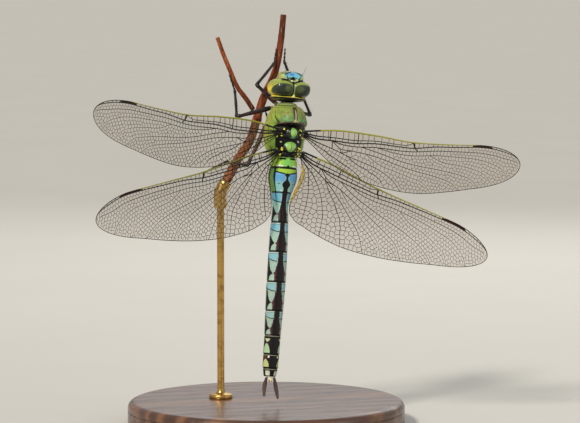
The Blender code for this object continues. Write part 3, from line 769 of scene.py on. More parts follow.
def thorax_paint(paint, x, z, turn, wobble, fine):
    """Green sides and front, a pale keel edged in dark, and black between the wings."""
    side = abs(turn)
    paint.start(paint.blend("green", "leaf", paint.grain(0.55).over(0.5, 0.2)))
    paint.coat("olive", (z + wobble * 1.2).over(3, 1.3) * side.under(60, 25) * 0.7)
    # olive-brown on the right side only: painted shade on the side away from the light
    paint.coat("olive_brown", turn.over(8, 10) * z.over(0.9, 0.3) * 0.45)
    paint.coat("yellow_green", side.over(72, 14) * 0.85)
    paint.coat("belly", side.over(140, 14) * 0.8)
    # turquoise along the foot of the front, deepest beside the keel
    low = z.curve((0.9, 0), (1.6, 1), (2.3, 0.9), (3.3, 0))
    paint.coat("turquoise", (low * (side + wobble * 8).within(9, 48, 8) * 0.85))
    # dull brown stains
    paint.coat("olive_brown", paint.grain(0.9, detail=5).over(0.55, 0.06) * side.under(80, 15)
        * z.over(1.2, 0.4) * 0.65)
    paint.coat("leaf", paint.grain(1.7, detail=4).over(0.56, 0.05) * 0.6)
    paint.coat("olive_dark", paint.grain(2.6, detail=5).under(0.41, 0.04) * 0.45)
    # the seam that runs from the shoulder to the wing root, black at its foot
    line = z.line(*SHOULDER_SEAM)
    seam = abs(side - line)
    paint.coat("olive_dark", seam.under(1.5, 0.9) * z.within(0.6, 5.3, 0.2) * 0.6)
    wedge = z.curve((0.3, 5), (1.3, 4.4), (2.2, 2.9), (3.2, 0.5))
    paint.coat("black", (wedge - seam).over(0.6, 0.6) * z.within(0.5, 2.9, 0.2))
    # the two seams of the flank, dark where they reach the wings
    for foot, head in FLANK_SEAMS:
        slope = (head[1] - foot[1]) / (head[0] - foot[0])
        offset = abs(side - ((z - foot[0]) * slope + foot[1]))
        reach = side.within(min(head[1], foot[1]) - 4, max(head[1], foot[1]), 3)
        paint.coat("olive_dark", offset.under(2.2, 1.3) * reach * 0.7)
        paint.coat("black", offset.under(3.2, 1.2) * side.within(44, 68, 4))
    # keel: dark on both sides, pale along its top, black where it starts
    span = z.within(1.45, 4.95, 0.15)
    edge = abs(x) + side.over(90, 8) * 3
    paint.coat("keel_edge", (edge + fine * 0.06).under(0.5, 0.08) * span)
    paint.coat("black", (edge + fine * 0.04).under(0.36, 0.05) * span)
    paint.coat("keel", (edge + fine * 0.03).under(0.1, 0.04) * z.within(1.3, 4.3, 0.1))
    paint.coat("keel_pale", (edge + fine * 0.03).under(0.07, 0.04)
        * (z + wobble * 0.4).within(1.5, 3.6, 0.2))
    # the ridge before the wings, and black behind it as far as the waist
    ridge = side.under(58, 4)
    arch = z + side * side * RIDGE_BOW
    paint.coat("black", (arch + wobble * 0.12).under(1.34, 0.08) * z.over(-6.75, 0.1) * side.under(47, 3))
    paint.coat("black", (arch + wobble * 0.15).within(0.6, 1.16, 0.08) * ridge)
    paint.coat("ridge", (arch + fine * 0.06).within(1.22, 1.5, 0.05) * side.under(46, 5) * 0.8)
    paint.coat("black", (arch + fine * 0.05).within(1.46, 1.58, 0.04) * side.under(50, 5) * 0.8)
    foot = z.curve((1, 0.9), (1.45, 0.62), (2.1, 0.2), (2.6, 0))
    paint.coat("keel", (foot - edge).over(0, 0.06) * z.within(1.3, 2.4, 0.06))
    # yellow flecks round the wing roots
    for spot_turn, spot_z, wide, tall in WING_ROOT_FLECKS:
        across = (side - spot_turn) / wide
        down = (z + fine * 0.12 - spot_z) / tall
        paint.coat("fleck", (across * across + down * down).under(1, 0.35))
    # neck side: dark behind the head
    paint.coat("neck_pale", (z + wobble * 0.08).over(5.5, 0.05) * 0.8)
    paint.coat("black", (z + wobble * 0.05).within(5.36, 5.54, 0.05) * side.under(100, 20))
    paint.coat("black", (z + fine * 0.05).within(5.8, 5.92, 0.04) * side.under(70, 12) * 0.8)
    paint.coat("olive_dark", z.over(6.05, 0.1) * 0.9)
    return paint.colour


# turn from the back, Z, half breadth in degrees, half height
WING_ROOT_FLECKS = ((25, -0.25, 2.6, 0.18), (31, -1.4, 3.6, 0.26), (42, -1.9, 3, 0.34),
    (24, -4.95, 4.6, 0.3), (41, -5, 3.4, 0.34), (39, -6.35, 4.2, 0.36))


def tail_paint(paint, z, side, wobble, fine):
    """Green first rings, then blue fading to grey-green, with the dark pattern of each segment."""
    blue = z.curve((-60, 0), (-48, 0), (-30, 0.2), (-22, 0.5), (-15, 1))
    base = paint.blend("tail_grey", "tail_blue", blue)
    paint.start(paint.blend(base, "tail_green", paint.grain(0.8).over(0.55, 0.12) * 0.4))
    paint.coat("belly", side.over(128, 12) * 0.75)
    for number in range(2, 7):
        segment_paint(paint, z, side, wobble, fine, number)
    paint.coat("tail_dark", z.under(SEGMENT_ENDS[7] + 0.05, 0.06) * side.under(150, 12))
    for low, high, near, far, outline, shade in TAIL_SPOTS:
        tip = z.line(*tuple((low + (high - low) * part, broad) for part, broad in outline))
        middle = (near + far) / 2
        spread = (far - near) / 2
        shape = (tip * spread - abs(side + wobble * 4 + fine * 3 - middle)).over(0, 2.5)
        paint.coat(shade, shape * (z + fine * 0.08 + wobble * 0.05).within(low, high, 0.08))
    for end in SEGMENT_ENDS[7:10]:
        paint.coat("tail_pale", abs(z - (end - 0.22)).under(0.06, 0.04) * side.under(120, 20) * 0.55)
    second_paint(paint, z, side, wobble, fine)
    first_paint(paint, z, side, wobble)
    return paint.colour


# Outlines of the spots near the tail's end: share of the height, share of the breadth
WEDGE = ((0, 0.1), (0.5, 0.7), (1, 1))
DOME = ((0, 1), (0.35, 0.96), (0.62, 0.78), (0.86, 0.44), (1, 0.1))
DOT = ((0, 0.45), (0.3, 1), (0.7, 1), (1, 0.45))
# lower Z, upper Z, turn where it starts and ends, outline, colour
TAIL_SPOTS = (
    (-50.2, -49.42, 34, 78, WEDGE, "tail_pale"),
    (-52.75, -50.5, 33, 90, DOME, "tail_mint"),
    (-53.92, -53.44, 29, 42, DOT, "white"),
    (-54.15, -53.5, 54, 80, DOT, "rust"),
    (-56.05, -54.2, 33, 90, DOME, "tail_lime"),
    (-58.05, -56.95, 20, 60, ((0, 0.9), (0.2, 1), (0.8, 1), (1, 0.85)), "cream"),
)


def segment_paint(paint, z, side, wobble, fine, number):
    """The pattern of one middle segment, from its front joint (t = 0) to its rear joint (t = 1)."""
    front, rear = SEGMENT_ENDS[number], SEGMENT_ENDS[number + 1]
    here = z.within(rear, front, 0.02)
    t = (z - front) / (rear - front)
    rough = wobble * 0.012 + fine * 0.012
    wander = wobble * 3.4 + fine * 4.4
    late = (number - 2) / 4
    # blue band behind the front joint, palest next to the stripe
    band = (t + rough).within(0.02, 0.31 - 0.03 * late, 0.03)
    paint.coat("band_blue", here * band * (side + wander).over(20, 14) * side.under(122, 14)
        * (0.9 - 0.6 * late))
    # fine cross line, which bows forwards down the sides
    bow = (side - 16) * (side - 16) * 1.7e-5
    ridge = abs(t + bow + rough * 0.4 - 0.33)
    paint.coat("black", here * ridge.under(0.017, 0.007) * side.under(100, 10))
    # dark on the side, closing on the stripe to leave a funnel and a dome
    shoulder = (((0, 130), (0.42, 128), (0.5, 80)) if number < 4
        else ((0, 96), (0.28, 84), (0.36, 76), (0.5, 70)))
    inner = t.line(*shoulder, (0.62, 64), (0.735, 45), (0.78, 58), (0.84, 68), (0.97, 74),
        (1, 74))
    paint.coat("tail_dark", here * (side + wander - inner).over(0, 1.6)
        * (side + wobble * 6).under(100, 6))
    # the stripe down the back
    wide = t.line((0, 15), (0.3, 16.5), (0.42, 20), (0.56, 26), (0.68, 33), (0.735, 42),
        (0.78, 35), (0.97, 33), (1, 33))
    stripe = here * (wide + wander * 0.8 + 1 + 4 * late - side).over(0, 1.6)
    paint.coat("tail_dark", stripe)
    paint.coat("tail_red", stripe * (side + wobble * 6).over(22, 8) * t.over(0.5, 0.2)
        * paint.grain(1.1).over(0.42, 0.12) * 0.8)
    # joint: black, then cream, then a fine black line
    if number > 2:
        paint.coat("cream", here * (t + rough * 0.5).within(0.038, 0.066, 0.008)
            * (side + wander).within(17, 120, 4) * 0.8)
        paint.coat("black", here * (t + rough * 0.5).within(0.07, 0.084, 0.006) * side.under(110, 8)
            * 0.7)
    # ragged pale fringe beside the stripe: a painted highlight along its edge
    fringe = (side + wander - wide).within(0, 4.5, 1.2) * (z + wobble * 0.5 + fine * 0.3).over(rear
        + 0.3, 0.3)
    paint.coat("tail_painted_highlight", here * fringe * paint.grain(1.3).over(0.45, 0.1) * t.over(0.1, 0.03)
        * side.under(60, 5) * (0.7 - 0.4 * late))
    paint.coat("black", here * (t.under(0.034, 0.01) + t.over(0.972, 0.008)).low(1)
        * side.under(135, 6))


def second_paint(paint, z, side, wobble, fine):
    """Second segment: green front band, blue patches, a black vase on the back, green flanks."""
    here = z.within(SEGMENT_ENDS[2], SEGMENT_ENDS[1], 0.02)
    ground = paint.blend("patch_blue", "tail_blue", (z + wobble * 0.3).under(-12.6, 0.8))
    paint.coat(ground, here)
    paint.coat("green", here * (side + wobble * 4).over(60, 5))
    paint.coat("belly", here * side.over(125, 12) * 0.7)
    bow = side.line((0, -0.28), (16, 0), (55, 0.42))
    low = z - bow - 0.42
    paint.coat("bright_green", here * low.over(-10.95, 0.06) * side.under(54, 1.5))
    paint.coat("green", here * low.over(-10.95, 0.06) * (paint.grain(2).over(0.52, 0.08)) * 0.5)
    line = abs(low + 11.02)
    paint.coat("black", here * line.under(0.16, 0.05) * side.under(54, 1.5))
    vase = z.line((-15, 15), (-14.6, 12), (-14, 12.5), (-13.5, 18), (-13.1, 19.5), (-12.6, 13),
        (-12.1, 4.6), (-11.4, 4.6), (-11, 11), (-10.7, 5), (-10.4, 0))
    paint.coat("black", here * (vase + fine * 1.2 - side).over(0, 1))
    paint.coat("tail_mint", here * (vase + 4.5 + fine * 1.5 - side).over(0, 1.2)
        * (side - vase).over(0.6, 0.8) * z.within(-14.8, -11.3, 0.1) * 0.55)
    paint.coat("black", here * abs(z + 13.05 + (side - 34) * 0.004).under(0.07, 0.04)
        * side.within(29, 39, 1.5))
    paint.coat("white", here * abs(z + 14.65).under(0.16, 0.08) * side.within(20, 26, 1.5) * 0.8)
    # a black line down each side, on to the third segment
    flank = z.within(SEGMENT_ENDS[2] - 3.4, SEGMENT_ENDS[1] + 0.1, 0.5)
    width = z.line((-18.6, 0.6), (-16, 2.6), (-10, 4.6))
    paint.coat("black", flank * (width - abs(side - 55)).over(0, 0.7))
    paint.coat("black", (z + fine * 0.03).within(-9.52, -9.02, 0.05) * side.under(118, 8))
    paint.coat("black", abs(z - SEGMENT_ENDS[2]).under(0.13, 0.04) * side.under(118, 8))


def first_paint(paint, z, side, wobble):
    """First segment: green above, with a white and a black line at its rear edge."""
    here = z.over(SEGMENT_ENDS[1], 0.03)
    green = paint.blend("bright_green", "first_green", (side + wobble * 6).under(26, 10))
    paint.coat(green, here)
    paint.coat("black", here * (z + wobble * 0.12).over(-7.35, 0.06) * side.within(9, 40, 3))
    paint.coat("belly", here * side.over(110, 15) * 0.7)
    paint.coat("white", here * z.within(-9.02, -8.7, 0.05) * side.within(20, 52, 5) * 0.85)
    paint.coat("black", here * z.under(-9.02, 0.04) * side.under(118, 8))
    peak = side.line((0, 0.55), (7, 0))
    paint.coat("black", here * (z + 9.05 - peak).under(0, 0.05) * side.under(8, 1))


# Colours of the body that are not in the settings
FIXED_COLOURS = dict(
    leaf="#8fb03a", olive="#7f8446", olive_brown="#7a6d45", keel_edge="#4a3220", keel_pale="#dfe0c4",
    neck_pale="#93a06a", tail_painted_highlight="#c5c9cc", first_green="#78b855", olive_dark="#4d5026",
    belly="#9c9560", black="#0c0908", keel="#a9a07c", ridge="#7d5c66", fleck="#ece548",
    tail_grey="#93a697", tail_green="#a2c29c", tail_pale="#b9bb92", tail_mint="#9cb98e",
    tail_lime="#b1b673", white="#ecebe0", cream="#c3c7b4", tail_red="#4a2420", rust="#5e2c1e",
    bright_green="#9cc23c",
)


def palette(settings):
    """Every colour of the body by name: the fixed ones, and those that a user may change."""
    colours = {name: tone(code) for name, code in FIXED_COLOURS.items()}
    for name, label in (("green", "green"), ("yellow_green", "flank"), ("turquoise", "turquoise"),
            ("tail_blue", "tail_blue"), ("band_blue", "band_blue"), ("tail_dark", "tail_dark"),
            ("patch_blue", "patch_blue"), ("face_blue", "face_blue")):
        colours[name] = tuple(getattr(settings, label))
    return colours


def trunk_finish(colours):
    """Shell of the trunk: its markings, leathery grain and a low gloss."""
    look = Finish("trunk_shell", None, colours, coat=0.06, coat_roughness=0.3, specular=0.2)
    group = trunk_colours_group(colours)
    look.start(use_group(look.tree, group, Turn=look.skin_turn())["Colour"])
    return look.done(1, 0.05, 0.5, 0.34)


def hair_finish(colours):
    """Fine hairs with the markings of the skin under them, a little paler and warmer."""
    look = Finish("body_hair", None, colours, roughness=0.6)
    group = trunk_colours_group(colours)
    skin = use_group(look.tree, group, Turn=look.skin_turn())["Colour"]
    look.start(skin)
    look.coat("#b9ad78", look.grain(2).curve((0.3, 0.3), (0.7, 0.6)))
    return look.done()


def eye_finish(colours):
    """Compound eye: a dark cap on top in a yellow-green field, a yellow rear rim, fine facets."""
    look = Finish("compound_eye", "#84933a", colours, roughness=0.3, coat=0.32, coat_roughness=0.04,
        specular=0.2)
    side = abs(look.x)
    z, y = look.z, look.y
    wobble = look.wobble(0.8)
    look.coat("#9aa544", (z + wobble * 0.5).over(10.5, 0.5) * 0.8)
    look.coat("#6a7834", look.grain(1.6, detail=3).over(0.52, 0.22) * 0.5)
    look.coat("#8f8a4c", y.over(1.6, 1.2) * 0.8)
    across = (side - 2.45) / 2.34
    down = (z - 9.04) / 1.42
    radius = across * across + down * down - across * across * down * down * 0.3
    top = y.under(0.9, 0.9)
    look.coat("#587038", radius.under(1.3, 0.3) * top * 0.9)
    look.coat("#a4ad62", abs(radius - 1.13).under(0.06, 0.05) * top * 0.7)
    look.coat("#3a4a2e", (radius + wobble * 0.08).under(1, 0.08) * top)
    look.coat("#20251f", (radius + wobble * 0.2).under(0.7, 0.25) * top * 0.9)
    olive = (side - 1.5) * (side - 1.5) / 0.9 + (z - 9.3) * (z - 9.3) / 0.9
    look.coat("#4c5829", olive.under(0.7, 0.6) * top * 0.75)
    # a teal streak at the outer edge of each dark cap: a painted reflection of the sky
    sky_reflection = (side - 4.72) * (side - 4.72) / 0.03 + (z - 9.7) * (z - 9.7) / 0.3
    look.coat("#2f5c4c", sky_reflection.under(0.9, 0.5) * top * 0.8)
    look.coat("#1c2220", abs(radius - 0.86).under(0.1, 0.06) * (side.over(3.2, 0.5)) * top * 0.5)
    # the seam between the eyes, with a paler thread on each side of it
    look.coat("#7d8a58", side.within(0.14, 0.34, 0.05) * top * 0.8)
    look.coat("#101410", side.under(0.14, 0.04))
    # rear and outer rim
    outer = (radius + wobble * 0.04).over(1.04, 0.08) * y.under(2.6, 1)
    look.coat("#f2d61c", outer * (z - (side - 4.4) * 0.3).under(9.6, 1.3) * side.over(2.4, 0.5))
    look.coat("#ecd634", (z + wobble * 0.03).under(7.72, 0.04) * y.under(3, 1) * side.over(1.6, 0.6))
    # where the eyes meet the face: a black line, and the pale foot of the blister before it
    front = side.line((0, 10.72), (0.5, 10.8), (0.97, 11.06), (1.45, 11.34), (1.96, 11.42), (3, 11.38))
    look.coat("#c2ca8c", (z - front).over(0.1, 0.06) * side.under(1.5, 0.1))
    look.coat("#0f0d0b", (side.curve((0.9, 0.19), (1.4, 0.32)) - abs(z - front + wobble * 0.02)).over(0,
        0.05) * side.under(2.9, 0.15) * y.under(0.5, 0.5))
    facets = look.cells(11, jitter=0.15)
    look.raise_by(facets.curve((0, 1), (0.7, 0)), 0.012)
    look.rough(look.grain(1.2), 0.42, 0.3)
    return look.done()


def face_finish(colours):
    """Face: yellow-green, blue on the upper shelf with a black T, dark seams and mouth edges."""
    look = Finish("face_shell", "#a3a545", colours, coat=0.2, coat_roughness=0.2)
    x, y, z = look.x, look.y, look.z
    side = abs(x)
    wobble = look.wobble(1.2)
    look.coat("#b5b168", look.grain(0.8).over(0.5, 0.15) * 0.6)
    shelf = y.under(-1.3, 0.18)
    look.coat("#a4b06a", y.under(-0.9, 0.35) * side.over(1.2, 0.5))
    look.coat("#b3bd88", y.under(-0.9, 0.35) * (z - 11.7).under(0, 0.3) * side.over(1, 0.3) * 0.7)
    look.coat("face_blue", shelf * (z + side * 0.3 + wobble * 0.08).over(11.95, 0.25)
        * (z * 0.57 - 5.03 + wobble * 0.12 - side).over(0, 0.22))
    look.coat("#2c5fae", shelf * (z + wobble * 0.1).within(12.52, 13, 0.18)
        * abs(x + 0.45).under(0.62, 0.4) * 0.85)
    look.coat("#8fc0a2", shelf * z.within(11.6, 12.2, 0.2) * side.within(0.5, 1.9, 0.25) * 0.7)
    edge = side.curve((0, 13.43), (0.6, 13.36), (1.1, 13.17), (1.7, 12.85), (2.3, 12.5))
    look.coat("#100e0d", y.under(-0.9, 0.2) * abs(z - edge + wobble * 0.03).under(0.15, 0.05)
        * side.under(2.15, 0.15))
    look.coat("#6f6c34", y.under(-0.2, 0.5) * (z - edge - 0.02).over(0.14, 0.08) * 0.85)
    # the T: a short bar at the back of the shelf and an arrow that points forwards
    arrow = z.line((11.3, 0.42), (11.45, 0.62), (11.62, 0.72), (11.8, 0.56), (12, 0.26), (12.2, 0.16),
        (12.34, 0))
    look.coat("black", y.under(-1, 0.1) * (arrow - side).over(0, 0.05) * z.within(11.34, 12.32, 0.05))
    # the dark line round the foot of the shelf, where the eyes meet the face
    foot = side.line((0, 10.75), (0.6, 10.9), (1.2, 11.34), (1.5, 11.56), (2.2, 11.68), (3, 11.68))
    look.coat("black", (z + wobble * 0.03 - foot).under(0, 0.06) * y.under(1.2, 0.5))
    # seams of the face, and the dark border of the lips
    for place in (1.66, 3.36):
        look.coat("#2a2417", abs(y - place).under(0.07, 0.05))
    look.coat("#7a7433", (y - 0.35).over(0, 0.5) * side.over(2.35, 0.25) * 0.6)
    look.coat("#1d1812", (y + side * 0.12).over(4.65, 0.12) * z.over(11.2, 0.3))
    look.coat("#8f8440", y.over(3.5, 0.1) * z.over(12, 0.2) * 0.35)
    return look.done(1.6, 0.03, 0.42, 0.26)


def rear_head_finish(colours):
    """Back of the head: olive-green with a black upper line and a yellow triangle between the eyes."""
    look = Finish("rear_of_head", "#3f4420", colours, coat=0.12, coat_roughness=0.2, specular=0.3)
    look.coat("#6c7232", look.grain(0.9).over(0.55, 0.1) * 0.6)
    look.coat("#93903f", look.y.over(1.2, 1) * 0.6)
    wobble = look.wobble(1.2)
    side = abs(look.x)
    look.coat("#29280f", look.z.under(6.95, 0.12) * side.under(2.4, 0.9) * 0.9)
    look.coat("#f0dc4c", (look.z + wobble * 0.03).over(7.36, 0.04) * look.y.under(2, 0.8))
    look.coat("#39421f", (look.z + wobble * 0.03).over(7.47, 0.04) * side.under(2.9, 0.5))
    look.coat("black", (look.z + wobble * 0.03).within(7, 7.35, 0.05) * look.y.under(1.8, 0.8))
    look.coat("black", (look.z + wobble * 0.05).within(6.72, 7.2, 0.08) * side.under(1.9, 0.7))
    look.coat("black", look.z.under(6.62, 0.1))
    look.coat("#e4da7c", look.attribute("triangle").over(0.5, 0.2))
    return look.done(1.3, 0.03, 0.5, 0.34)


def vertex_finish(colours):
    """The small pale blister before the eyes, black round its foot."""
    look = Finish("vertex_blister", "#c6cf96", colours, roughness=0.3, coat=0.5, coat_roughness=0.12)
    look.coat("black", look.z.under(10.93, 0.05))
    look.coat("black", look.z.over(11.36, 0.05))
    look.coat("black", abs(look.x).over(0.66, 0.06))
    look.coat("black", abs(look.x).under(0.11, 0.05))
    return look.done(2, 0.02, 0.36, 0.26)


def plate_finish(colours):
    """Shield plates between the wings: green, darker at the rim."""
    look = Finish("shield_plate", "#7fae40", colours, coat=0.45, coat_roughness=0.18)
    rim = look.attribute("rim")
    look.coat("#7cc07a", look.grain(1).over(0.5, 0.12) * 0.6)
    look.coat("#a8bb3a", look.grain(0.8).over(0.56, 0.08) * rim.under(0.75, 0.2) * 0.7)
    side, fore = abs(look.x), look.z.over(-2.75, 0.1)
    rear = 1 - fore
    # the fore shield is green only in a narrow oval, with a small piece behind it
    oval = side * side / 0.62 + (look.z + 1) * (look.z + 1) / 1.25
    look.coat("black", fore * oval.over(1, 0.12))
    look.coat("#58b070", fore * (look.z.under(-2.12, 0.05)) * side.under(0.55, 0.06))
    # the hind one is two lobes, drawn together at its rear, with a dark line between
    lobe = look.z.curve((-5.7, 0), (-5.45, 0.5), (-4.9, 0.95), (-4.4, 1.28), (-3.6, 1.38), (-3.2, 1.2),
        (-3, 0.6))
    look.coat("black", rear * (side - lobe).over(0, 0.08))
    look.coat("olive_dark", rear * (side + (look.z + 4.2) * 0.05).under(0.07, 0.05)
        * look.z.over(-5, 0.1) * 0.9)
    look.coat("black", rim.over(0.93, 0.05))
    return look.done(1.6, 0.03, 0.45, 0.3)


def knuckle_finish(colours):
    """The small sclerites at the wing roots: black, yellow or bone white by their own tint."""
    look = Finish("wing_knuckle", "black", colours, coat=0.12, coat_roughness=0.2, specular=0.3)
    tint = look.attribute("tint")
    rim = look.attribute("rim")
    look.coat("fleck", tint.within(0.75, 1.25, 0.1) * (rim + (look.grain(3) - 0.5) * 0.5).under(0.8, 0.1))
    look.coat("#c8c4bd", tint.over(1.5, 0.1) * rim.under(0.85, 0.1))
    look.coat("#8db070", tint.within(0.35, 0.65, 0.1) * rim.under(0.72, 0.12))
    return look.done(2, 0.03, 0.4, 0.26)


def leg_finish(colours):
    """Legs: glossy black with a dark red glow on the upper leg, and slightly worn shins."""
    look = Finish("leg_shell", "#0d0a0b", colours, coat=0.2, coat_roughness=0.16, specular=0.3)
    down = look.attribute("down")
    look.coat("#4d1c18", (down + (look.grain(1) - 0.5) * 0.8).under(0.75, 0.3)
        * look.grain(0.7).over(0.47, 0.15) * 0.8)
    look.coat("#1e1d24", look.grain(2.2, detail=5).over(0.62, 0.06) * 0.6)
    look.coat("#6d6a3c", down.under(0.06, 0.05) * 0.8)
    return look.done(2.4, 0.03, 0.42, 0.24)


def tail_end_finish(colours):
    """Claspers and tail plate: dark purplish brown, with a pale wedge on the plate."""
    look = Finish("tail_end_shell", "#43302c", colours, coat=0.35, coat_roughness=0.2)
    look.coat("#66483f", look.grain(1.6, stretch=(1, 1, 0.25)).over(0.52, 0.12) * 0.8)
    look.coat("#1a1013", look.attribute("rim").over(0.8, 0.12))
    wedge = look.z.line((-60, 0), (-59.3, 0.12), (-58.7, 0.8), (-58.3, 0.9))
    plate = look.attribute("plate").over(0.5, 0.1)
    look.coat("#8c3a26", plate * (wedge + 0.14 - abs(look.x - 0.05)).over(0, 0.05))
    look.coat("#e8e2b4", plate * (wedge - abs(look.x - 0.05)).over(0, 0.05))
    return look.done(1.8, 0.04, 0.48, 0.34)


def membrane_finish(settings):
    """Wing film: clear, with an amber stain that deepens in clouds and along the front edge."""
    look = Finish("wing_film", tuple(settings.film), roughness=0.2, coat=0.3, coat_roughness=0.05)
    front = look.attribute("front")
    clouds = look.grain(0.12, detail=3)
    look.coat("#5c4210", clouds.over(0.52, 0.15) * 0.5)
    look.coat("#9c7a20", front.under(0.16, 0.12) * 0.5)
    look.coat("#6e4308", abs(look.x).under(15, 8) * look.z.under(-9, 4) * 0.8)
    look.shader.inputs["Alpha"].default_value = settings.film_cover
    look.raise_by(look.grain(0.9, detail=3), 0.1)
    look.rough(look.grain(0.5), 0.18, 0.08)
    return look.done()


def vein_finish(settings):
    """Veins by their tint: 0 the black main ones, 0.5 the brown network, 1 the yellow front edge."""
    look = Finish("wing_vein", tuple(settings.vein_dark), roughness=0.4, coat=0.1, coat_roughness=0.2,
        specular=0.25)
    tint = look.attribute("tint")
    look.coat(tuple(settings.vein_fine), tint.within(0.3, 0.7, 0.15))
    look.coat(tuple(settings.vein_front), tint.over(0.8, 0.1))
    look.coat("#2a1a10", look.grain(0.5).over(0.6, 0.08) * tint.under(0.8, 0.1) * 0.5)
    look.coat("#3a120e", tint.over(1.5, 0.2))
    look.coat("#1c0a08", tint.over(1.5, 0.2) * look.grain(1.3).over(0.5, 0.12) * 0.8)
    look.coat("#a58c46", tint.over(2.5, 0.2))
    look.coat("#67501f", tint.over(2.5, 0.2) * look.grain(2.6, detail=2).over(0.54, 0.05) * 0.8)
    look.coat("#a8a49f", tint.over(3.5, 0.2))
    look.rough(look.grain(1.5), 0.5, 0.34)
    return look.done()


def bark_finish(settings):
    """Dry stem: red-brown to tan in long streaks, with cracks, pale scars and a dark foot and top."""
    look = Finish("stem_bark", tuple(settings.bark), roughness=0.75, specular=0.2)
    along = look.attribute("along")
    cut = look.attribute("cut").over(0.5, 0.2)
    streak = look.grain(1.3, detail=5, stretch=(1, 1, 0.12))
    fibre = look.grain(4.5, detail=4, stretch=(1, 1, 0.07))
    look.coat("#985022", (streak + (along - 0.5) * 0.35).over(0.58, 0.07) * 0.8)
    look.coat("#4a2014", streak.under(0.44, 0.05) * 0.85)
    look.coat("#33190f", along.under(0.14, 0.08) * 0.6)
    look.coat("#b78a68", fibre.over(0.63, 0.04) * 0.5)
    look.coat("#3b1c12", fibre.under(0.37, 0.03) * 0.6)
    look.coat("#2b1711", look.cells(0.35).under(0.16, 0.05) * look.grain(5).over(0.45, 0.1) * 0.8)
    look.coat("#d8c193", cut)
    look.coat("#8a6a42", cut * look.cells(5).under(0.25, 0.1) * 0.7)
    look.raise_by(fibre * 0.6 + streak * 0.4, 0.12)
    look.rough(streak, 0.85, 0.62)
    return look.done()


def wood_finish(settings):
    """Turned walnut: rings round an axis that lies along the board, under a satin varnish."""
    look = Finish("stand_walnut", tuple(settings.wood), roughness=0.35, coat=0.35, coat_roughness=0.18)
    node = look.tree.nodes.new("ShaderNodeTexCoord")
    source = Value(look.tree, node.outputs["Object"])
    turn = look.tree.nodes.new("ShaderNodeMapping")
    turn.inputs["Location"].default_value = (0.03, 0, 0.055)
    turn.inputs["Rotation"].default_value = (0, 0.06, 0.5)
    turn.inputs["Scale"].default_value = (12, 110, 110)
    feed(source, turn.inputs["Vector"])
    board = Value(look.tree, turn.outputs["Vector"])
    wave = look.tree.nodes.new("ShaderNodeTexWave")
    wave.wave_type = "RINGS"
    wave.rings_direction = "X"
    wave.inputs["Scale"].default_value = 0.55
    wave.inputs["Distortion"].default_value = 11
    wave.inputs["Detail"].default_value = 3
    wave.inputs["Detail Scale"].default_value = 0.45
    feed(board, wave.inputs["Vector"])
    ring = Value(look.tree, wave.outputs["Fac"])
    pores = grain(look.tree, board, 9, detail=4, roughness=0.7)
    broad = grain(look.tree, board, 0.6, detail=3)
    look.coat("#3a2114", ring.over(0.5, 0.4) * (broad * 1.2).low(0.75))
    look.coat("#8d5f3a", ring.under(0.25, 0.2) * broad * 0.6)
    look.coat("#1f110b", pores.over(0.62, 0.05) * 0.55)
    look.raise_by(pores.under(0.6, 0.08), 0.04)
    look.rough(pores, 0.3, 0.46)
    return look.done()


def brass_finish():
    """Brushed brass with faint turning marks and slight tarnish."""
    look = Finish("stand_brass", "#c9a15a", roughness=0.28, metallic=1)
    marks = look.grain(3, detail=4, stretch=(0.3, 0.3, 6))
    look.coat("#8a6630", look.grain(0.5, detail=4).over(0.56, 0.1) * 0.6)
    look.raise_by(marks, 0.02)
    look.rough(marks, 0.24, 0.38)
    return look.done()


def floor_finish(settings):
    """Plain pale matt floor with the faintest unevenness."""
    look = Finish("pale_floor", tuple(settings.floor_colour), roughness=0.85)
    look.coat(tuple(0.96 * part for part in settings.floor_colour), look.grain(0.02).over(0.5, 0.2) * 0.5)
    return look.done()


# ---- Trunk ----

def trunk_girth(z):
    """Half width, back and belly of the whole trunk at heights z, from both tables."""
    tail = [(height, wide, shift - deep, shift + deep) for height, wide, deep, shift in TAIL_GIRTH]
    thorax = smooth_table(TRUNK_GIRTH, z)
    abdomen = smooth_table(tail, z)
    share = rise(-z, 6.85, 7.05)[:, None]
    return thorax * (1 - share) + abdomen * share


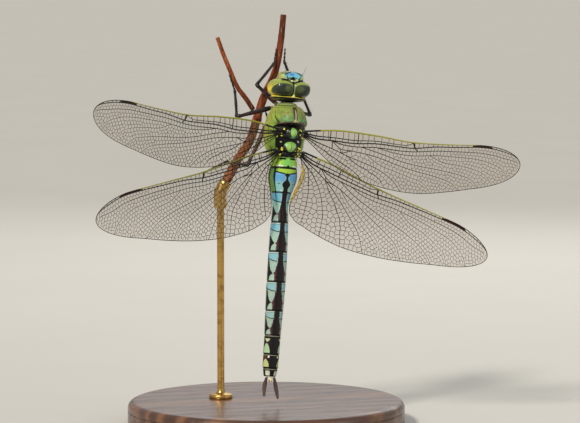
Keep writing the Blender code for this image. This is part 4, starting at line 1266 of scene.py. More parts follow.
def trunk_relief(z, turn, coat_depth):
    """How far the skin stands out, in millimetres, at heights z and degrees round from the back.

    A sum of bells and steps: grooves at the joints, a lip before each, cross lines and keels on
    the tail, and on the thorax its keel, its ridge, its seams and the uneven floor between the wings.
    """
    side = np.abs(turn)
    on_tail = rise(-z, 6.8, 7.4)
    lift = -coat_depth * (1 - on_tail) - 0.05 * on_tail
    for number, end in enumerate(SEGMENT_ENDS):
        depth = 0.16 if number in (0, 1) else 0.12
        lift = lift - depth * bump(z, end, 0.1) + 0.05 * bump(z, end + 0.34, 0.22)
    for front, rear in zip(SEGMENT_ENDS[1:7], SEGMENT_ENDS[2:8]):
        line = front + (rear - front) * 0.33
        lift += 0.045 * bump(z, line, 0.1) * rise(-side, -110, -95)
        body = rise(-z, -front + 0.3, -front + 1) * rise(z, rear + 0.3, rear + 0.8)
        lift += 0.07 * bump(side, 0, 3) * body
        lift += 0.06 * bump(side, 112, 7) * body
    lift += 0.015 * ripple(z, turn * 0.05, scale=1.4, seed=3) * on_tail
    thorax = 1 - on_tail
    keel = rise(z, 1.3, 1.7) * rise(-z, -5.1, -4.7)
    lift += thorax * keel * (0.22 * bump(turn, 0, 2.6) - 0.1 * bump(side, 6.5, 3))
    lift += thorax * 0.22 * bump(z + side ** 2 * RIDGE_BOW, 1.38, 0.22) * rise(-side, -75, -45)
    line = np.interp(z, *zip(*SHOULDER_SEAM))
    lift -= thorax * 0.16 * bump(side, line, 2.4) * rise(z, 0.5, 1.2) * rise(-z, -5.3, -4.9)
    lift += thorax * 0.1 * bump(side, line + 9, 6) * rise(z, 0.5, 1.2)
    for foot, head in FLANK_SEAMS:
        slope = (head[1] - foot[1]) / (head[0] - foot[0])
        offset = side - ((z - foot[0]) * slope + foot[1])
        reach = rise(side, head[1] - 8, head[1] + 2) * rise(-side, -foot[1] - 4, -foot[1] + 8)
        lift += thorax * (0.08 * bump(offset, 9, 6) - 0.15 * bump(offset, 0, 3)) * reach
    between = thorax * rise(-z, -0.9, -0.3) * rise(-side, -58, -44)
    lift += between * (0.16 * ripple(z, turn * 0.07, scale=1.5, seed=9) - 0.18)
    lift -= 0.16 * bump(z, 5.46, 0.09)
    lift += thorax * 0.05 * ripple(z, turn * 0.06, scale=0.8, seed=5)
    # swollen bases of the legs on the underside
    for height in (6, 4.6, 2.4):
        lift += thorax * 0.25 * bump(z, height, 0.9) * bump(side, 152, 16)
    return lift


def trunk_points(z, turn, coat_depth, out=0):
    """The skin at heights z and degrees round from the back: an oval, raised by the relief.

    The oval has x = half width * sin(turn) and y = middle - half depth * cos(turn), and the relief
    acts along the oval's own outward direction.
    """
    girth = trunk_girth(z)
    wide, back, belly = girth[:, 0], girth[:, 1], girth[:, 2]
    middle, deep = (back + belly) / 2, (belly - back) / 2
    angle = np.radians(turn)
    outward = np.stack((np.sin(angle) / wide, -np.cos(angle) / deep, np.zeros_like(z)), axis=-1)
    outward /= np.linalg.norm(outward, axis=1)[:, None]
    points = np.stack((wide * np.sin(angle), middle - deep * np.cos(angle), z), axis=-1)
    return points + outward * (trunk_relief(z, turn, coat_depth) + out)[:, None]


def trunk_map(z, turn):
    """Place on the skin's unwrap: across is the turn, down is the distance from the neck."""
    top, foot = TRUNK_GIRTH[0][0], SEGMENT_ENDS[-1]
    return np.stack((turn / 360 + 0.5, (z - foot) / (top - foot)), axis=-1)


def make_trunk(settings, colours):
    """One skin over neck, thorax and all ten rings of the tail."""
    top, waist, foot = TRUNK_GIRTH[0][0], SEGMENT_ENDS[0], SEGMENT_ENDS[-1]
    heights = np.concatenate((np.linspace(top, waist, settings.thorax_rings, endpoint=False),
        np.linspace(waist, foot, settings.tail_rings)))
    share = np.linspace(-1, 1, settings.trunk_columns + 1)
    turns = 180 * np.sign(share) * np.abs(share) ** 1.3
    rows, columns = len(heights), len(turns)
    z, turn = (item.ravel() for item in np.meshgrid(heights, turns, indexing="ij"))
    points = trunk_points(z, turn, settings.coat_depth).reshape(rows, columns, 3)
    uv = trunk_map(z, turn)
    ends = np.stack((points[0, :-1].mean(axis=0), points[-1, :-1].mean(axis=0)))
    # the last column repeats the first: faces use the first, the map uses the last
    open_faces = grid_faces(rows, columns, closed=False)
    shape = Shape()
    kept = columns - 1
    row, column = np.divmod(open_faces, columns)
    closed_faces = row * kept + column % kept
    shape.add(np.concatenate((points[:, :-1].reshape(-1, 3), ends)),
        (closed_faces, fan_faces(0, kept, rows * kept), fan_faces((rows - 1) * kept, kept,
        rows * kept + 1)))
    fan_uv = np.concatenate((uv.reshape(rows, columns, 2)[:, :-1].reshape(-1, 2), ((0.5, 1), (0.5, 0))))
    shape.maps = [uv[open_faces]] + [fan_uv[block] for block in shape.faces[1:]]
    nodes = ("prothorax", "thorax") + tuple(f"abdomen_{n + 1}" for n in range(10))
    return shape.build("trunk_skin", trunk_finish(colours), "abdomen_marked", nodes)


def make_hair(settings, colours):
    """Short fine hairs on the thorax and the first rings, leaning towards the tail."""
    rng = np.random.default_rng(11)
    count = settings.hair_count
    z = np.concatenate((rng.uniform(0.9, 5.3, count * 2 // 3),
        rng.uniform(-6.4, 0.9, count - count * 2 // 3)))
    turn = rng.uniform(-165, 165, count)
    turn = np.where((z < 0.8) & (np.abs(turn) < 62), np.sign(turn) * rng.uniform(66, 165, count), turn)
    length = settings.hair_length * rng.uniform(0.6, 1.15, count) * (0.7 + 0.5 * (np.abs(turn) > 70))
    roots = trunk_points(z, turn, settings.coat_depth, -0.02)
    lean_z = z - length * rng.uniform(0.55, 0.95, count)
    lean_turn = turn + rng.normal(0, 3, count)
    lean_z = np.clip(lean_z, -6.8, None)
    tips = trunk_points(lean_z, lean_turn, settings.coat_depth, 0)
    outward = roots - trunk_points(z, turn, settings.coat_depth, -0.5)
    outward /= np.linalg.norm(outward, axis=1)[:, None]
    tips = tips + outward * (length * rng.uniform(0.35, 0.7, count))[:, None]
    place = trunk_map(z, turn)

    def patches(number, each):
        """Each hair's own small patch of the unwrap, at its root."""
        step = np.linspace(-0.0015, 0.0015, each)
        patch = place[:, None, :] + np.stack((step, step[::-1] * 0.6), axis=-1)[None]
        return np.clip(patch, 0, 1).reshape(-1, 2)

    shape = Shape()
    add_needles(shape, roots, tips, HAIR_RADIUS, sides=3, bend=outward * 0.06, uv=patches)
    return shape.build("thorax_hair", hair_finish(colours), "thorax_green")


# ---- Head ----

def soft_floor(value, floor, soft):
    """The larger of value and floor, with the corner rounded over a distance of soft."""
    gap = value - floor
    return floor + (gap + np.sqrt(gap * gap + soft * soft)) / 2


def make_eyes(colours):
    """Two bulging eyes that press together along a seam, each flat where it meets the head."""
    finish = eye_finish(colours)
    for side, word in SIDES:
        shape = Shape()
        middle = (side * EYE_MIDDLE[0], EYE_MIDDLE[1], EYE_MIDDLE[2])
        points, faces = egg_points(middle, np.array(EYE_RADII) - 0.03, EYE_FULLNESS, *EYE_POINTS, 1)
        points[:, 0] = side * soft_floor(side * points[:, 0], 0.035, 0.1)
        points[:, 2] = soft_floor(points[:, 2], EYE_REAR, 0.16)
        shape.add(points, faces)
        shape.build("eye_surface_" + word, finish, "eye", ("eye_" + word,))


def face_rings(rows, ring):
    """Slices of the face: x = half width * c, z = middle + reach * s, with c and s softened."""
    table = smooth_table(FACE_FORM, rows)
    turn = circle(ring)
    across = np.sign(np.cos(turn)) * np.abs(np.cos(turn)) ** 0.72
    ahead = np.sign(np.sin(turn)) * np.abs(np.sin(turn)) ** 0.72
    middle = (table[:, 1] + FACE_BACK) / 2
    reach = (table[:, 1] - FACE_BACK) / 2
    return np.stack((table[:, 0:1] * across, np.repeat(rows[:, None], ring, axis=1),
        middle[:, None] + reach[:, None] * ahead), axis=-1)


def make_head(colours):
    """Rear of the head, face with its lips, the blister before the eyes, and the feelers."""
    rows = np.linspace(FACE_FORM[0][0], FACE_FORM[-1][0], FACE_POINTS[0])
    grow = -0.03 - 0.13 * bump(rows, 1.66, 0.07) - 0.13 * bump(rows, 3.36, 0.07)
    grow = grow + 0.05 * bump(rows, 2.5, 0.5) - 0.1 * bump(rows, FACE_FORM[0][0], 0.1)
    rings = face_rings(rows, FACE_POINTS[1])
    middles = rings.mean(axis=1)[:, None]
    outward = rings - middles
    rings = middles + outward * (1 + grow[:, None, None] / np.linalg.norm(outward, axis=2)[..., None])
    # a shallow dimple down the middle of the upper shelf, and a notch in the upper lip
    dimple = bump(rings[..., 0], 0, 0.5) * rise(-rows, 0.6, 1.6)[:, None] * 0.12
    notch = bump(rings[..., 0], 0, 0.5) * rise(rows, 4.4, 5.1)[:, None] * 0.18
    rings[..., 2] -= (dimple + notch) * rise(rings[..., 2], 11.5, 12.6)
    shape = Shape()
    first, last = rings[0], rings[-1]
    shares = np.linspace(0.04, 0.98, 24)[:, None, None]
    caps = first.mean(axis=0) + (first - first.mean(axis=0)) * shares
    # the shelf is hollow towards the eyes, deepest where it meets the blister
    caps[..., 1] -= 0.05 * (1 - shares[..., 0] ** 2)
    caps[..., 1] += (0.5 * rise(-caps[..., 2], -12.6, -11.6) * (1 - shares[..., 0] ** 6)
        * rise(-np.abs(caps[..., 0]), -2.2, -0.5))
    add_rings(shape, np.concatenate((caps, rings)))
    heights = np.linspace(LABIUM_GIRTH[0][0], LABIUM_GIRTH[-1][0], 40)
    lip = oval_rings(smooth_table(LABIUM_GIRTH, heights), heights, 64)
    # the lower lip has a cleft down the middle and a lobe on each side
    turn = circle(64)
    lip[..., 1] -= 0.22 * bump(np.cos(turn), 0, 0.12) * (np.sin(turn) > 0)
    add_rings(shape, lip)
    shape.build("face_skin", face_finish(colours), "face",
        ("head_frons", "head_clypeus", "head_labrum", "head_labium"))

    shape = Shape()
    heights = np.linspace(CAPSULE_GIRTH[0][0], CAPSULE_GIRTH[-1][0], 26)
    table = smooth_table(CAPSULE_GIRTH, heights)
    # its top tucks in under the eyes
    tuck = 0.38 * rise(heights, 7.36, 7.64)
    table = table + np.stack((-tuck, tuck, -tuck), axis=-1)
    add_rings(shape, oval_rings(table, heights, 96), triangle=0)
    # a core that closes the slit under the eyes
    add_egg(shape, (0, 0.7, 7.7), (3.6, 2.3, 0.4), 2.4, 48, 16, triangle=0)
    steps = np.linspace(0, 1, 12)
    wide = 0.46 * (1 - steps) ** 1.2 + 0.03
    route = np.stack((np.full(12, 0.3), np.linspace(-2, -2.35, 12), np.linspace(7.5, 8.22, 12)), axis=-1)
    add_rings(shape, tube_rings(route, wide, 16, flat=0.35, flat_axis=(0, 1, 0.6)), triangle=1)
    shape.build("rear_of_head_skin", rear_head_finish(colours), "head_rim", ("head_capsule",))

    shape = Shape()
    add_egg(shape, (0, -1.93, 11.18), (0.72, 0.42, 0.32), 2.2, 40, 24, pole=0)
    for x, z in ((0, 11.5), (-0.58, 11.16), (0.58, 11.16)):
        add_egg(shape, (x, -2.08, z), (0.1, 0.1, 0.1), 2, 14, 8)
    shape.build("vertex_blister", vertex_finish(colours), "face", ("head_vertex",))

    leg_shell = leg_finish(colours)
    for side, word in SIDES:
        root = (np.array(ANTENNA_ROOT) + (0.15, 0.35, -0.25)) * (side, 1, 1)
        tip = np.array(ANTENNA_TIP) * (side, 1, 1)
        steps = np.linspace(0, 1, 40)
        route = root + np.outer(steps, tip - root)
        route[:, 0] += side * 0.18 * np.sin(np.pi * steps)
        # two stout joints at the root, then a bristle with fine swellings
        radii = 0.08 * rise(-steps, -0.12, -0.08) + 0.05 * rise(-steps, -0.24, -0.2) + 0.055 - 0.035 * steps
        radii = radii + 0.012 * np.cos(steps * 2 * np.pi * 7)
        shape = Shape()
        add_rings(shape, tube_rings(route, np.maximum(radii, 0.015), 12), down=2)
        shape.build("feeler_" + word, leg_shell, "leg_cuticle", ("antenna_" + word,))


def add_plate(shape, middle, radii):
    """A domed shield: a rounded form with a raised middle ridge, and how near each point is to its rim."""
    points, faces = egg_points(middle, radii, 2.2, 56, 30, 1)
    away = (points - np.asarray(middle)) / np.asarray(radii)
    rim = np.clip(np.sqrt(away[:, 0] ** 2 + away[:, 2] ** 2), 0, 1)
    points[:, 1] -= 0.12 * bump(away[:, 0], 0, 0.22) * (1 - rim)
    points[:, 1] += 0.1 * radii[1] * bump(rim, 0.82, 0.08)
    points[:, 1] += 0.05 * ripple(points[:, 0], points[:, 2], scale=2.2, seed=4) * (1 - rim)
    shape.add(points, faces, rim=rim)


# Wing-root knuckles: place, radii, tint (0 black, 0.5 green, 1 yellow fleck, 2 bone white)
KNUCKLES = (
    ((-0.95, -3.8, -0.25), (0.5, 0.17, 0.17), 1, 25),
    ((2.1, -3.48, -0.3), (0.55, 0.18, 0.19), 1, -38),
    ((1.75, -3.45, -1.9), (0.7, 0.34, 0.42), 0, 0),
    ((-1.65, -3.45, -1.7), (0.7, 0.34, 0.42), 0, 0),
    ((2.05, -3.42, -1.45), (0.42, 0.17, 0.18), 1, 58),
    ((2.85, -2.8, -2.02), (0.62, 0.19, 0.2), 1, -12),
    ((3.9, -2, -2.15), (0.3, 0.14, 0.15), 1, -30),
    ((-2.25, -3, -1.85), (0.55, 0.16, 0.17), 1, 5),
    ((-2.9, -2.55, -1.5), (0.6, 0.34, 0.42), 0, 0),
    ((-3.3, -2.3, -1.75), (0.22, 0.14, 0.14), 2, 0),
    ((1.9, -2.75, -2.95), (0.4, 0.16, 0.26), 2, -50),
    ((-2.3, -2.5, -3.3), (0.36, 0.18, 0.26), 0.5, 0),
    ((2.45, -2.3, -4.5), (0.55, 0.19, 0.2), 1, -25),
    ((3.1, -1.75, -5.1), (0.34, 0.16, 0.17), 1, -40),
    ((-1.95, -2.62, -4.7), (0.26, 0.15, 0.22), 1, 0),
    ((-2.6, -2.2, -5.3), (0.66, 0.34, 0.42), 0, 0),
    ((2.35, -2.05, -5.75), (0.3, 0.16, 0.34), 1, 20),
    ((2.75, -1.75, -6.35), (0.55, 0.17, 0.2), 1, -42),
    ((-2.15, -2.15, -6.2), (0.42, 0.17, 0.24), 1, 30),
    ((1.2, -2.45, -6), (0.7, 0.3, 0.4), 0, 0),
    ((-1.1, -2.45, -5.9), (0.7, 0.3, 0.4), 0, 0),
    ((2, -2, -6.9), (0.3, 0.14, 0.16), 2, -30),
)


def add_knuckle(shape, middle, radii, tint, degrees=0):
    """A small rounded form, turned by so many degrees in the plane of the back."""
    points, faces = egg_points((0, 0, 0), radii, 2.3, 22, 12, 1)
    rim = np.hypot(points[:, 0] / radii[0], points[:, 2] / radii[2])
    turn = math.radians(degrees)
    spin = np.array(((math.cos(turn), 0, -math.sin(turn)), (0, 1, 0),
        (math.sin(turn), 0, math.cos(turn))))
    shape.add(points @ spin.T + np.asarray(middle), faces, tint=tint, rim=rim)


def make_plates(colours):
    """Two domed shields between the wings, and the small hard knuckles at the wing roots."""
    finish = plate_finish(colours)
    for name, middle, radii in (("fore", (0, -3.5, -1.1), (1.75, 1.4, 1.32)),
            ("hind", (0, -2.6, -4.3), (1.75, 1.1, 1.27))):
        shape = Shape()
        add_plate(shape, middle, radii)
        shape.build("shield_" + name, finish, "thorax_plate", ("thorax_plate_" + name,))
    shape = Shape()
    for middle, radii, tint, degrees in KNUCKLES:
        add_knuckle(shape, middle, radii, tint, degrees)
    for name in WINGS:
        plan = WingPlan(name)
        for far, behind, radii, tint in ((0.1, 0.35, (0.7, 0.3, 0.24), 0),
                (0.2, 0.95, (0.75, 0.28, 0.22), 0), (0.15, 1.5, (0.6, 0.28, 0.2), 0)):
            middle = plan.place(np.array([far]), np.array([behind]), np.array([-0.25]))[0]
            add_knuckle(shape, middle, radii, tint)
    shape.build("wing_knuckles", knuckle_finish(colours), "thorax_plate")


def make_tail_end(colours):
    """Leaf-shaped claspers with a midrib, and the small plate between them."""
    finish = tail_end_finish(colours)
    steps = np.linspace(0, 1, 70)
    wide = 0.5 * (0.4 + 0.6 * np.sin(np.pi * np.clip(0.92 * steps + 0.05, 0, 1)) ** 0.9)
    wide = wide * np.where(steps > 0.93, np.sqrt(np.clip(1 - ((steps - 0.93) / 0.07) ** 2, 0.03, 1)), 1)
    turn = circle(32)
    for side, word in SIDES:
        root, tip = np.array(CERCUS_ROOTS[word]), np.array(CERCUS_TIPS[word])
        route = root + np.outer(steps, tip - root)
        route[:, 0] += side * 0.12 * np.sin(np.pi * steps)
        route[:, 1] += 0.35 * np.sin(np.pi * steps)
        rings = tube_rings(route, wide, 32, flat=0.4, flat_axis=(0, 1, 0))
        rib = 0.1 * bump(np.cos(turn), 0, 0.22)[None, :] * (1 - steps[:, None]) * (np.sin(turn) < 0)
        rings[..., 1] -= rib * 1.4
        rim = np.tile(np.abs(np.cos(turn)), (70, 1)).ravel()
        shape = Shape()
        add_rings(shape, rings, rim=np.concatenate((rim, (0.5, 1))), plate=0)
        shape.build("clasper_" + word, finish, "tail_end", ("cercus_" + word,))
    shape = Shape()
    heights = np.linspace(-58.4, -59.68, 24)
    share = (heights + 58.4) / -1.28
    wide = 0.62 * (1 - share ** 2.2) ** 0.5 * (1 - 0.2 * share) + 0.04
    deep = 0.26 - 0.08 * share
    rings = np.stack((wide[:, None] * np.cos(turn) + 0.05, deep[:, None] * np.sin(turn) - 0.55,
        np.repeat(heights[:, None], 32, axis=1)), axis=-1)
    add_rings(shape, rings, plate=1, rim=0)
    shape.build("tail_plate_skin", finish, "tail_end", ("tail_plate",))


# ---- Wings ----

class WingPlan:
    """Where the edges and veins of one wing lie, read along a fine ruler from root to tip."""

    def __init__(self, name):
        side, hinge_y, hinge_z, raised, swept = WINGS[name]
        lift, sweep = math.radians(raised), math.radians(swept)
        self.side = side
        self.kind = name[:4]
        self.hinge = np.array((side * WING_HINGE_X, hinge_y, hinge_z))
        self.along = np.array((side * math.cos(lift) * math.cos(sweep), -math.sin(lift) * math.cos(sweep),
            -math.sin(sweep)))
        self.rearward = np.array((-side * math.cos(lift) * math.sin(sweep),
            math.sin(lift) * math.sin(sweep), -math.cos(sweep)))
        self.upward = np.cross(self.along, self.rearward) * side
        self.length = FRONT_EDGE[self.kind][-1][0]
        self.ruler = np.linspace(0, self.length, RULER_STEPS)
        ahead = smooth_table(FRONT_EDGE[self.kind], self.ruler)[:, 0]
        rear_edge = REAR_EDGE.get(name.replace("wing", ""), REAR_EDGE[self.kind])
        behind = smooth_table(rear_edge, self.ruler)[:, 0]
        closing = np.clip((self.ruler / self.length - TIP_START) / (1 - TIP_START), 0, 0.999)
        half = (behind - ahead) / 2 * np.sqrt(1 - closing ** 2)
        self.front = (ahead + behind) / 2 - half
        self.chord = 2 * half
        names, rows, lifts = ["costa"], [np.zeros_like(half)], [np.full_like(half, 0.16)]
        for vein, parent, pleat, _, points in VEINS[self.kind]:
            row = np.minimum(smooth_table(points, self.ruler)[:, 0], self.chord)
            start, end = points[0][0], points[-1][0]
            above = np.full_like(half, pleat)
            if parent:
                row = np.where(self.ruler < start, rows[names.index(parent)], row)
                above = lifts[names.index(parent)]
            if points[-1][1] > 2:
                row = np.where(self.ruler > end, self.chord, row)
            names.append(vein)
            rows.append(row)
            lifts.append(above + (pleat - above) * rise(self.ruler, start, start + 3))
        names.append("margin")
        rows.append(self.chord)
        lifts.append(np.zeros_like(half))
        self.names = names
        self.rows = np.minimum(np.maximum.accumulate(np.array(rows), axis=0), self.chord)
        self.lifts = np.array(lifts)

    def row(self, number, u):
        """Distance of one vein, or with -1 of the rear margin, behind the front edge."""
        return np.interp(u, self.ruler, self.rows[number])

    def height(self, u, d):
        """The pleated surface: straight from each vein to the next, flat at the margin and the tip."""
        total = np.zeros(np.broadcast(u, d).shape)
        for number in range(len(self.names) - 1):
            near, far = self.row(number, u), self.row(number + 1, u)
            share = np.clip((d - near) / np.maximum(far - near, 1e-4), 0, 1)
            first = np.interp(u, self.ruler, self.lifts[number])
            last = np.interp(u, self.ruler, self.lifts[number + 1])
            total = np.where((d >= near) & (far > near), first + (last - first) * share, total)
        return total * rise(self.length - u, 0, 9) * rise(self.row(-1, u) - d, -0.6, 1.6)

    def place(self, u, d, above=0):
        """Body place of points u along the wing and d behind its front edge."""
        ahead = np.interp(u, self.ruler, self.front)
        far = np.asarray(u, float)
        if self.kind == "hind":
            # the inner margin swells outwards behind the hinge
            far = far + 0.5 * bump(ahead + d, 5.6, 2.4) * rise(-far, -6.5, -1.5)
        up = self.height(u, d) + above - TIP_DROOP * (u / self.length) ** 2
        return (self.hinge + far[..., None] * self.along + (ahead + d)[..., None] * self.rearward
            + up[..., None] * self.upward)


def cell_pitch(plan, u):
    """Breadth of the wing's cells: large near the root, fine towards the tip."""
    start, end = (1.2, 0.8) if plan.kind == "fore" else (1.28, 0.82)
    return start + (end - start) * rise(u, 0, 0.62 * plan.length)


def cell_edges(points, real):
    """Ends of the walls between rounded cells, one cell round each real point.

    Each wall lies half way between two neighbours, and runs between the middles of the circles
    through the two triangles that share that pair.
    """
    result = geometry.delaunay_2d_cdt([Vector(point) for point in points], [], [], 0, 1e-7)
    corners = np.array([tuple(vert) for vert in result[0]])
    origin = np.array([item[0] if len(item) else -1 for item in result[3]])
    triangles = np.array([face for face in result[2] if len(face) == 3])
    a, b, c = (corners[triangles[:, n]] for n in range(3))
    twice = 2 * ((b - a)[:, 0] * (c - a)[:, 1] - (b - a)[:, 1] * (c - a)[:, 0])
    twice = np.where(np.abs(twice) < 1e-9, 1e-9, twice)
    bb, cc = ((b - a) ** 2).sum(axis=1), ((c - a) ** 2).sum(axis=1)
    middle = a + np.stack((((c - a)[:, 1] * bb - (b - a)[:, 1] * cc) / twice,
        ((b - a)[:, 0] * cc - (c - a)[:, 0] * bb) / twice), axis=-1)
    pairs = np.concatenate((triangles[:, (0, 1)], triangles[:, (1, 2)], triangles[:, (2, 0)]))
    owner = np.tile(np.arange(len(triangles)), 3)
    pairs.sort(axis=1)
    order = np.lexsort((pairs[:, 1], pairs[:, 0]))
    pairs, owner = pairs[order], owner[order]
    same = (pairs[1:] == pairs[:-1]).all(axis=1)
    ends = origin[pairs[:-1][same]]
    kept = (ends >= 0).all(axis=1) & (ends < real).all(axis=1)
    return middle[owner[:-1][same][kept]], middle[owner[1:][same][kept]]


def walls_between(plan, points, real, near, far):
    """Cell walls held between two veins: their two ends and their lengths."""
    starts, ends = cell_edges(points, real)
    for side in (starts, ends):
        side[:, 0] = np.clip(side[:, 0], 0.02, plan.length)
        side[:, 1] = np.clip(side[:, 1], plan.row(near, side[:, 0]), plan.row(far, side[:, 0]))
    return starts, ends, np.linalg.norm(starts - ends, axis=1)


def band_walls(plan, number, rng):
    """Fine cross veins between one vein and the next, as ends of short straight walls."""
    ruler = plan.ruler
    wide = plan.rows[number + 1] - plan.rows[number]
    pitch = cell_pitch(plan, ruler)
    count = np.cumsum((wide > 0.3) / pitch) * (ruler[1] - ruler[0])
    if count[-1] < 2:
        return None
    columns = np.interp(np.arange(0.5, count[-1]), count, ruler)
    gap = np.interp(columns, ruler, wide)
    kept = gap > 0.3
    if plan.names[number + 1] == "cubitus":
        kept &= columns > ARCH[plan.kind]
    columns, gap = columns[kept], gap[kept]
    size = cell_pitch(plan, columns)
    rows = np.maximum(1, np.round(gap / size)).astype(int)
    first = np.cumsum(rows) - rows
    u = np.repeat(columns, rows)
    row = np.arange(rows.sum()) - np.repeat(first, rows)
    size, rows = np.repeat(size, rows), np.repeat(rows, rows)
    loose = np.where(rows > 1, 0.07, 0.03)
    u = u + (row % 2) * 0.5 * size + rng.uniform(-1, 1, len(u)) * loose * size
    u = np.clip(u, 0.05, plan.length - 0.1)
    near, far = plan.row(number, u), plan.row(number + 1, u)
    share = (row + 0.5) / rows + rng.uniform(-1, 1, len(u)) * loose * 0.7 / rows
    d = near + share * (far - near)
    seeds = np.stack((u, d), axis=-1)
    before = np.stack((u, 2 * near - d), axis=-1)[row == 0]
    after = np.stack((u, 2 * far - d), axis=-1)[row == rows - 1]
    points = np.concatenate((seeds, before, after))
    starts, ends, long = walls_between(plan, points, len(seeds), number, number + 1)
    kept = (long > 0.03) & (long < 2.6 * cell_pitch(plan, starts[:, 0]) + 0.2)
    return starts[kept], ends[kept]


def field_walls(plan, rng):
    """Cells of the field behind the cubitus, set in pairs along both sides of each vein and the margin.

    The pairs stand half a cell off the line, so that a wall falls on it; staggered rows fill the rest.
    """
    first = plan.names.index("cubitus")
    pitch = REAR_FIELD_PITCH[plan.kind]
    seeds = []
    for number in range(first, len(plan.names)):
        d = plan.rows[number]
        start = VEINS[plan.kind][number - 1][4][0][0] if number < len(plan.names) - 1 else 0
        kept = (plan.ruler >= max(start, 0.5)) & ((d < plan.chord - 0.02) | (number == len(plan.names) - 1))
        kept &= plan.ruler < 0.75 * plan.length
        line = np.stack((plan.ruler[kept], d[kept]), axis=-1)
        run = np.concatenate(([0], np.cumsum(np.linalg.norm(np.diff(line, axis=0), axis=1))))
        at = np.arange(0.6 * pitch, run[-1], 0.92 * pitch)
        at = at + rng.uniform(-0.05, 0.05, len(at)) * pitch
        middle, ahead = (np.stack([np.interp(place, run, line[:, axis]) for axis in (0, 1)], axis=-1)
            for place in (at, at + 0.1))
        ahead -= middle
        ahead /= np.maximum(np.linalg.norm(ahead, axis=1), 1e-6)[:, None]
        out = np.stack((-ahead[:, 1], ahead[:, 0]), axis=-1) * 0.46 * pitch
        seeds += [middle + out, middle - out]
    seeds = np.concatenate(seeds)
    columns = np.arange(0, 0.6 * plan.length, pitch * 0.94)
    rows = np.arange(0, 20, pitch)
    fill = np.stack(np.meshgrid(columns, rows, indexing="ij"), axis=-1)
    fill[1::2, :, 1] += 0.5 * pitch
    fill = fill.reshape(-1, 2)
    fill = fill + rng.uniform(-0.07, 0.07, fill.shape) * pitch
    low, high = plan.row(first, fill[:, 0]), plan.row(-1, fill[:, 0])
    fill = fill[(fill[:, 1] > low) & (fill[:, 1] < high)]
    points = np.concatenate((seeds, fill))
    gap = np.linalg.norm(points[:, None] - points[None], axis=2)
    room = np.where(np.arange(len(points)) < len(seeds), 0.55, 0.82) * pitch
    crowd = (gap < room[:, None]) & (np.arange(len(points))[None] < np.arange(len(points))[:, None])
    anchored = (np.arange(len(points)) < len(seeds))[~crowd.any(axis=1)]
    points = points[~crowd.any(axis=1)]
    for _ in range(14):
        away = points[:, None] - points[None]
        gap = np.linalg.norm(away, axis=2) + np.eye(len(points)) * 99
        push = (away / gap[..., None] * np.clip(1.12 * pitch - gap, 0, None)[..., None]).sum(axis=1)
        points = points + push * np.where(anchored, 0.05, 0.3)[:, None]
    low, high = plan.row(first, points[:, 0]), plan.row(-1, points[:, 0])
    inside = (points[:, 1] > low) & (points[:, 1] < high) & (points[:, 0] > 0.4)
    points = np.concatenate((points[inside], points[~inside]))
    starts, ends, long = walls_between(plan, points, int(inside.sum()), first, -1)
    kept = (long > 0.03) & (long < 2.2 * pitch) & (starts[:, 0] > 1)
    return starts[kept], ends[kept]


def add_plan_struts(shape, plan, starts, ends, radii, sides=4, **values):
    """Struts on the wing's surface between two lists of (u, d) places."""
    starts, ends = np.asarray(starts, float), np.asarray(ends, float)
    add_struts(shape, plan.place(starts[:, 0], starts[:, 1]), plan.place(ends[:, 0], ends[:, 1]), radii,
        sides, **values)


def add_vein(shape, plan, u, d, radii, tint, sides=6, flat=1):
    """A tapered tube that follows (u, d) places over the wing's surface."""
    keep = np.concatenate(([True], np.hypot(np.diff(u), np.diff(d)) > 1e-3))
    u, d = u[keep], d[keep]
    radii = np.broadcast_to(radii, len(keep))[keep]
    tint = np.broadcast_to(np.asarray(tint, float), len(keep))[keep]
    rings = tube_rings(plan.place(u, d), radii, sides, flat=flat, flat_axis=plan.upward)
    add_rings(shape, rings, tint=tint)


